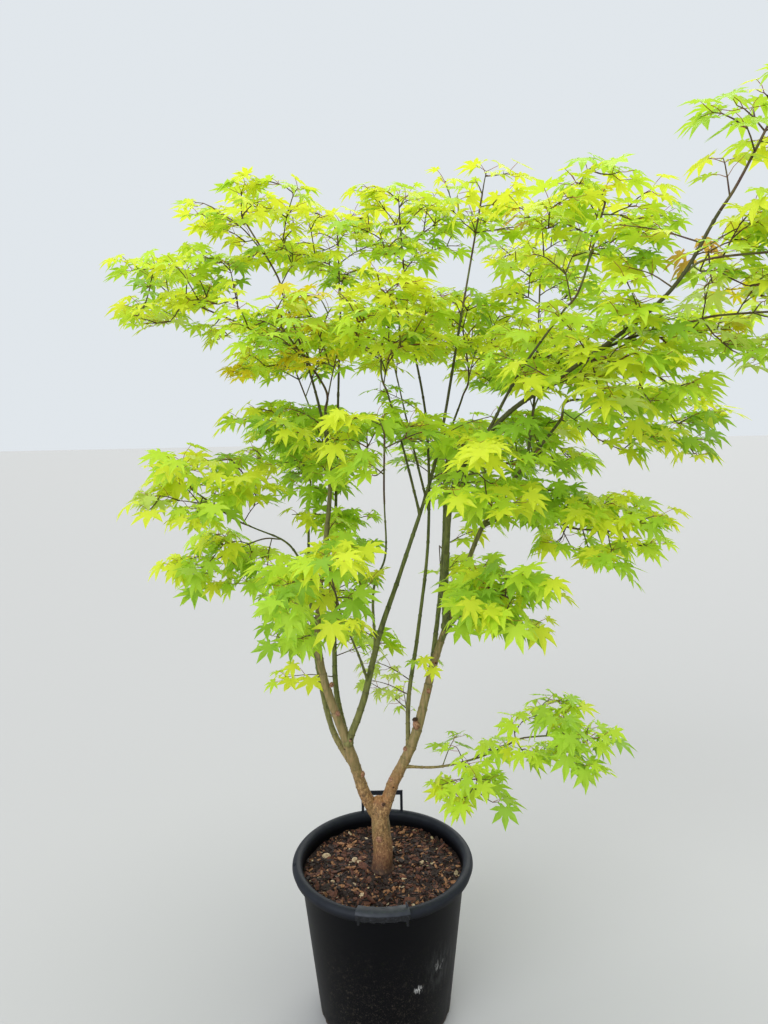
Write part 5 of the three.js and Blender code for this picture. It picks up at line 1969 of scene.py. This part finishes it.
@dataclass
class Crown:
    """The foliage: stems, shoots and leaves grown by the rule of the part's source, only finer.

    Lengths are in millimetres. Leaves above high_from are smaller and lie flatter, and over the
    dip_span below it they hang ever more. opening_cleared is the share of leaves left out of a gap.
    """

    limbs: dict[str, Limb]
    stems: list[Limb] = field(init=False)
    space: Space = field(init=False)
    pieces: Pieces = field(init=False)
    grown: Grown = field(init=False)
    tip_spacing: float = 34.0
    pair_step: tuple[float, float] = (24, 36)
    leafy_length: float = 135.0
    stalk: tuple[float, float] = (20, 36)
    leaf_length: tuple[float, float] = (40, 56)
    high_dip: tuple[float, float] = (3, 42)
    low_dip: tuple[float, float] = (14, 58)
    slimming: float = 0.3
    leaf_clearance: float = 4.0
    leaf_overhang: float = 9.0
    tip_overhang: float = 22.0
    sprig_seed: int = 500
    highest_tip: float = 0.6
    opening_cleared: float = 0.85
    long_shoot: float = 120.0
    long_twig: float = 1.9
    short_twig: float = 1.5
    twig_end: float = 0.8
    twig_ring: float = 16.0
    twig_sides: int = 5
    leaf_lost: float = 0.06
    young_leaf: float = 0.62
    high_leaf: float = 0.92
    low_leaf: float = 1.06
    high_from: float = 1560.0
    dip_span: float = 400.0

    def __post_init__(self) -> None:
        """Lays out every mass's space and stem."""
        middles = np.array([mass.middle for mass in MASSES], float)
        self.space = Space(middles, np.array([mass.radius for mass in MASSES], float))
        self.stems = [self.stem(mass) for mass in MASSES]
        self.pieces = Pieces.of([limb for name, limb in self.limbs.items() if name != "trunk"] + self.stems)
        self.grown = Grown()

    def stem(self, mass: MassPlan) -> Limb:
        """A mass's own stem, from its bough into the middle of its space.

        Args:
            mass: the mass that it carries.

        Returns:
            The stem, named like the mass's node.
        """
        bough = self.limbs[mass.parent]
        along = bough.curve.along(mass.at)[0]
        root = bough.curve.at(mass.at)[0]
        middle = np.array(mass.middle, float)
        at_tip = mass.at == 1
        if at_tip:
            root = root + along * GAP
        to_middle = middle - root
        lead = along if at_tip else unit(along + unit(to_middle) * STEM_TURN)
        bend = root + lead * min(STEM_LEAD, np.linalg.norm(to_middle) * STEM_LEAD_SHARE)
        outward_way = unit(to_middle * (1, 1, STEM_LEVEL))
        end = middle + outward_way * mass.radius * STEM_BEYOND
        side = min(SIDE_STEM_RADIUS, float(bough.radius(mass.at)) * SIDE_STEM_SHARE)
        thick = (float(bough.radius(1)) if at_tip else side) * (1 - self.slimming)
        return Limb(mass.node, Spline([root, bend, end]), thick, STEM_END_RADIUS, 1.0)

    def tips(self, index: int, draws: Draws) -> np.ndarray:
        """The points where a mass's shoots end, spread evenly over the tiers of its space.

        Args:
            index: which mass it is.
            draws: the mass's draws.

        Returns:
            One row for each point.
        """
        mass = MASSES[index]
        count = max(4, round((mass.radius / (self.tip_spacing * mass.spacing)) ** 2))
        tips = []
        for step in range(count):
            tier = TIER_HEIGHTS[step % len(TIER_HEIGHTS)]
            height = min(tier + (draws.next() - 0.5) * FINE_TIER_SPREAD, self.highest_tip)
            width = mass.radius * math.sqrt(1 - height * height) - FINE_EDGE_INSET
            away = max(NEAREST_TIP, math.sqrt((step + 0.5) / count)) * width
            turn = step * GOLDEN_ANGLE + index + 1
            x = mass.middle[0] + math.cos(turn) * away
            y = mass.middle[1] + math.sin(turn) * away
            tip = np.array([x, y, mass.middle[2] + height * mass.radius * FLATNESS * TIER_REACH])
            if not in_opening(tip):
                tips.append(tip)
        return np.array(tips)

    def find_shoot(
        self,
        index: int,
        nodes: list[tuple[np.ndarray, float]],
        target: np.ndarray,
    ) -> tuple[Spline, float] | None:
        """The line of a shoot towards a target, tried ever nearer to the middle of the space.

        Args:
            index: which mass it grows in.
            nodes: grown points with their way from the bough.
            target: where its tip should be.

        Returns:
            The line and its root's way from the bough, or None where nothing is free.
        """
        middle = np.array(MASSES[index].middle, float)
        places = np.array([place for place, _ in nodes])
        paths = np.array([path for _, path in nodes])
        name = MASSES[index].node
        for share in TIP_TRIES:
            for lift in LIFT_TRIES:
                tip = middle + (target - middle) * share + (0, 0, lift)
                reaches = np.linalg.norm(places - tip, axis=1)
                best = int(np.argmin(reaches + PATH_WEIGHT * paths))
                reach = reaches[best]
                if reach < 2.5 * SHORTEST_TWIG:
                    continue
                elbow = places[best] + (tip - places[best]) * ELBOW_SHARE
                elbow[2] = min(elbow[2] + ELBOW_LIFT * reach, tip[2] + 0.02 * reach)
                line = Spline([places[best], elbow, tip])
                walk = line.at(np.linspace(0.12, 1, 9))
                if self.space.depth(index, walk[2:]).min() < 2:
                    continue
                if self.pieces.gap(walk, name).min() < FINE_CLEARANCE:
                    continue
                return line, float(paths[best])
        return None

    def grow_mass(self, index: int) -> None:
        """Grows one mass: its stem, then a shoot to each tip from the best point grown so far.

        Args:
            index: which mass it is.
        """
        mass = MASSES[index]
        draws = Draws((index + 1) * SEED_STEP + SEED_START)
        stem = self.stems[index]
        nodes = []
        for step in range(1, 2 * STEM_NODES + 1):
            share = step / (2 * STEM_NODES) * LAST_NODE
            if share * stem.length >= STEM_BARE_LENGTH:
                nodes.append((stem.curve.at(share)[0], share * stem.length))
        on_stem = {way for _, way in nodes}
        last_fork = STEM_BARE_LENGTH
        root = stem.curve.at(0.0)[0]
        targets = sorted(self.tips(index, draws), key=lambda tip: float(np.linalg.norm(tip - root)))
        for target in targets:
            found = self.find_shoot(index, nodes, target)
            if found is None:
                continue
            line, path = found
            if path in on_stem:
                last_fork = max(last_fork, path)
            length = line.length()
            thick = self.long_twig if length > self.long_shoot else self.short_twig
            self.twig(line, max(4, round(length / self.twig_ring)), thick)
            height = (target[2] - mass.middle[2]) / (mass.radius * FLATNESS)
            self.dress(index, Shoot(line, length, *self.tints(mass.palette, height, draws)), draws)
            for share in (0.3, 0.6):
                nodes.append((line.at(share)[0], path + share * length))
        shares = np.linspace(0, last_fork / stem.length, max(6, round(last_fork / 14)))
        self.grown.twigs.append(tube_mesh(stem.curve, shares, stem.radius(shares), 7))

    def twig(self, line: Spline, rings: int, thick: float) -> None:
        """Adds one shoot's own wood."""
        points = line.at(np.linspace(0, 1, rings))
        self.grown.twigs.append(thin_tube(points, thick, self.twig_end, self.twig_sides))

    def tints(self, palette: Palette, height: float, draws: Draws) -> tuple[int, int]:
        """The tints of a shoot's leaves and of its young leaves: lighter on top as painted light, deeper
        below as painted shade.

        Args:
            palette: the mass's palette.
            height: how high the shoot ends in its mass, from -1 to 1.
            draws: the mass's draws.

        Returns:
            The numbers of both tints.
        """
        # Painted light and shade: high shoots lean to the sunlit tint, low ones to the deep tint.
        lean = (1 + 0.9 * height, 1 + 0.5 * height, 1 - 0.3 * height, 1 - 0.9 * height, 1, 1, 1)
        shares = [max(share * factor, 0) for share, factor in zip(palette.value, lean)]
        tint = draws.pick(shares)
        young, share = {
            Palette.SHADED: (1, 0.35),
            Palette.BLUSHED: (6, 0.07),
            Palette.PALE: (4, 0.4),
            Palette.AMBER: (5, 0.25),
        }.get(palette, (0, 0.35))
        return tint, young if draws.next() < share else tint

    def dress(self, index: int, shoot: Shoot, draws: Draws) -> None:
        """Sets opposite pairs of leaves along the outer part of a shoot, and a pair at its tip.

        Args:
            index: the mass it belongs to, or -1 for a sprig.
            shoot: the shoot.
            draws: the mass's draws.
        """
        way = shoot.length
        quarter = draws.pick([1, 1])
        number = 0
        while way > max(shoot.length - self.leafy_length, 0.16 * shoot.length, 14):
            share = way / shoot.length
            place = shoot.line.at(share)[0]
            along = shoot.line.along(share)[0]
            young = number == 0 and draws.next() < 0.5
            size = draws.between(*self.leaf_length) * shoot.size * (self.young_leaf if young else 1)
            size *= self.high_leaf if place[2] > self.high_from else self.low_leaf
            tint = shoot.tip_tint if number < 2 else shoot.tint
            if tint < 4 and draws.next() < 0.4:
                tint = min(max(tint + (1 if draws.next() < 0.5 else -1), 0), 3)
            for side in (-1, 1):
                if draws.next() < self.leaf_lost:
                    continue
                self.leaf(index, place, along, side, (number + quarter) % 2 == 1, size, tint, draws)
            way -= draws.between(*self.pair_step) * (0.6 if number == 0 else 1)
            number += 1

    def leaf(
        self,
        index: int,
        place: np.ndarray,
        along: np.ndarray,
        side: int,
        upright: bool,
        size: float,
        tint: int,
        draws: Draws,
    ) -> None:
        """One leaf on its stalk, left out where it would leave its space or lie in a limb.

        Args:
            index: the mass it belongs to, or -1 for a sprig on a bough, which has no space of its own.
            place: where its stalk leaves the shoot.
            along: the shoot's direction there.
            side: -1 or 1, which of the pair it is.
            upright: whether the pair stands above and below rather than left and right.
            size: the blade's length in millimetres.
            tint: which colour it has.
            draws: the mass's draws.
        """
        flat = unit(np.array([along[1], -along[0], 0.0]) + 1e-6)
        above = np.cross(flat, along)
        above = above if above[2] > 0 else -above
        apart = above * (0.75 * side) + flat * (0.35 * side) if upright else flat * side
        spread = draws.between(0.7, 1.15)
        lead = unit(along * draws.between(0.45, 1.0) + apart * spread)
        stalk = draws.between(*self.stalk) * (0.6 + 0.4 * size / 45)
        first = place + lead * stalk * 0.5
        outward_way = unit(lead * (1, 1, 0.25) + (0, 0, 0.1 if upright and side > 0 else 0.0))
        base = first + outward_way * stalk * 0.55 + (0, 0, 0.1 * stalk)
        stray = np.array([draws.between(-0.6, 0.6), draws.between(-0.6, 0.6), 0])
        heading = unit(lead * (1, 1, 0) + stray)
        low = min(max((self.high_from - place[2]) / self.dip_span, 0), 1)
        shares = [high + (low_end - high) * low for high, low_end in zip(self.high_dip, self.low_dip)]
        dip = math.radians(draws.between(*shares))
        forward = heading * math.cos(dip) - np.array([0, 0, math.sin(dip)])
        across = unit(np.cross(forward, (0, 0, 1)))
        roll = math.radians(draws.between(-20, 20))
        upper = np.cross(across, forward)
        turned = across * math.cos(roll) + upper * math.sin(roll)
        probe = np.array([base, base + forward * size * 0.5, base + forward * size])
        probe = np.vstack([probe, base + turned * size * 0.6, base - turned * size * 0.6])
        if draws.next() < self.opening_cleared and in_opening(probe[1]):
            return
        if index >= 0:
            depths = self.space.depth(index, probe)
            if depths[1] < -self.leaf_overhang or depths.min() < -self.tip_overhang:
                return
        if self.pieces.gap(probe, "").min() < self.leaf_clearance:
            return
        kind = draws.pick([1] * len(LEAF_KINDS))
        self.grown.stalks.append(thin_tube(np.array([place, first, base]), 0.75, 0.55, 3))
        frame = np.array([turned, forward, np.cross(turned, forward)])
        self.grown.leaves[tint].append((base, frame * size, kind))

    def grow_sprigs(self) -> None:
        """Small leafy shoots straight off the boughs, between and under the masses."""
        for number, plan in enumerate(SPRIGS):
            draws = Draws(self.sprig_seed + number)
            limb = self.limbs[plan.limb]
            for step in range(plan.count):
                share = plan.low + (plan.high - plan.low) * (step + draws.next()) / plan.count
                root = limb.curve.at(share)[0]
                turn = draws.between(0, 2 * math.pi)
                way = unit(np.array([math.cos(turn), math.sin(turn), draws.between(0.1, 0.6)]))
                length = draws.between(*plan.length) + float(limb.radius(share))
                line = Spline([root, root + way * length * 0.5 + (0, 0, 6), root + way * length])
                if in_opening(line.at(0.8)[0]):
                    continue
                if self.pieces.gap(line.at(np.linspace(0.4, 1, 6)), plan.limb).min() < FINE_CLEARANCE:
                    continue
                self.twig(line, 7, self.short_twig)
                tint = draws.pick(plan.palette.value)
                self.dress(-1, Shoot(line, line.length(), tint, tint, plan.size), draws)

    def blades(self, tint: int) -> Shape:
        """All leaves of one tint as places and triangles.

        Args:
            tint: the tint's number.

        Returns:
            All its leaves as one shape.
        """
        parts = []
        for kind, leaf in enumerate(LEAF_KINDS):
            shape, faces = leaf.shape()
            chosen = [(base, frame) for base, frame, number in self.grown.leaves[tint] if number == kind]
            if not chosen:
                continue
            bases = np.array([base for base, _ in chosen])
            frames = np.array([frame for _, frame in chosen])
            places = bases[:, None] + np.einsum("vk,nkd->nvd", shape, frames)
            shift = (np.arange(len(chosen)) * len(shape))[:, None, None]
            parts.append((places.reshape(-1, 3), (faces[None] + shift).reshape(-1, 3)))
        return merged(parts)

    def build(self) -> None:
        """Grows every mass and joins twigs, stalks and the leaves of each tint into pieces."""
        for index in range(len(MASSES)):
            self.grow_mass(index)
        self.grow_sprigs()
        nodes = [mass.node for mass in MASSES]
        report(mesh_piece("twigs", *merged(self.grown.twigs)), "leaves", twig_bark(), *nodes)
        report(mesh_piece("leaf_stalks", *merged(self.grown.stalks)), "leaves", leaf_stalk())
        for tint, finish in enumerate(LEAF_TINTS):
            if self.grown.leaves[tint]:
                # Flat faces, so that the fold along each vein catches light on one side
                piece = flat_faces(mesh_piece(f"leaves_{finish.name}", *self.blades(tint)))
                report(piece, "leaves", finish.material())
        LOG.info("leaves: %d", sum(len(kept) for kept in self.grown.leaves))


@dataclass
class Studio:
    """A plain pale floor, soft light from above and the camera at the photo's angle."""

    sky: str = "#e6ecf1"
    sky_strength: float = 0.95
    floor_size: float = 60.0
    softness: float = 50.0

    def floor(self) -> None:
        """A plain matt floor."""
        floor = begin("floor", bpy.ops.mesh.primitive_plane_add, size=self.floor_size)
        surface = Surface.named("matt_floor", 0.9, 1.4)
        surface.shader.inputs["Base Color"].default_value = linear("#a2a2a1")
        floor.data.materials.append(surface.material)

    def light(self, name: str, place: Point, power: float, tint: str) -> None:
        """One broad, soft light from far off, like bright cloud, that shines towards the plant.

        Args:
            name: the light's name.
            place: the side that it comes from, as a place round the plant.
            power: its strength.
            tint: its colour.
        """
        deselect_all()
        bpy.ops.object.light_add(type="SUN", location=place)
        lamp = bpy.context.active_object
        lamp.name = name
        lamp.data.angle = math.radians(self.softness)
        lamp.data.energy = power
        lamp.data.color = linear(tint)[:3]
        aim = Vector((0, 0, 1.2)) - lamp.location
        lamp.rotation_euler = aim.to_track_quat("-Z", "Y").to_euler()

    def camera(self) -> None:
        """The photo's view: from 1.7 m away at 1.475 m high, looking a little down."""
        deselect_all()
        turn = (math.radians(82.1), math.radians(1.2), 0)
        bpy.ops.object.camera_add(location=(0.019, -1.70, 1.475), rotation=turn)
        camera = bpy.context.active_object
        camera.data.lens = 26.3
        camera.data.sensor_width = 36
        camera.data.clip_start = 0.05
        camera.data.shift_x = 0.003
        bpy.context.scene.camera = camera
        bpy.context.scene.view_settings.view_transform = "Standard"

    def build(self) -> None:
        """Sets out the floor, the sky, three lights and the camera."""
        world = bpy.data.worlds.new("pale_sky")
        world.use_nodes = True
        back = world.node_tree.nodes["Background"]
        back.inputs["Color"].default_value = linear(self.sky)
        back.inputs["Strength"].default_value = self.sky_strength
        bpy.context.scene.world = world
        self.floor()
        self.light("overhead", (0.3, 0.2, 6.0), 1.5, "#fffdf8")
        self.light("front_fill", (-2.2, -3.2, 3.2), 2.1, "#f4f7ff")
        self.light("back_glow", (0.9, 3.2, 3.6), 1.6, "#fffef8")
        self.camera()


def main() -> None:
    """Builds the plant piece by piece in the CAD's frame."""
    logging.basicConfig(level=logging.INFO, format="%(message)s")
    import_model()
    limbs = make_limbs()
    Container().build()
    Mulch().build()
    Wood(limbs).build(LIMBS)
    Crown(limbs).build()
    Studio().build()


if __name__ == "__main__":
    main()
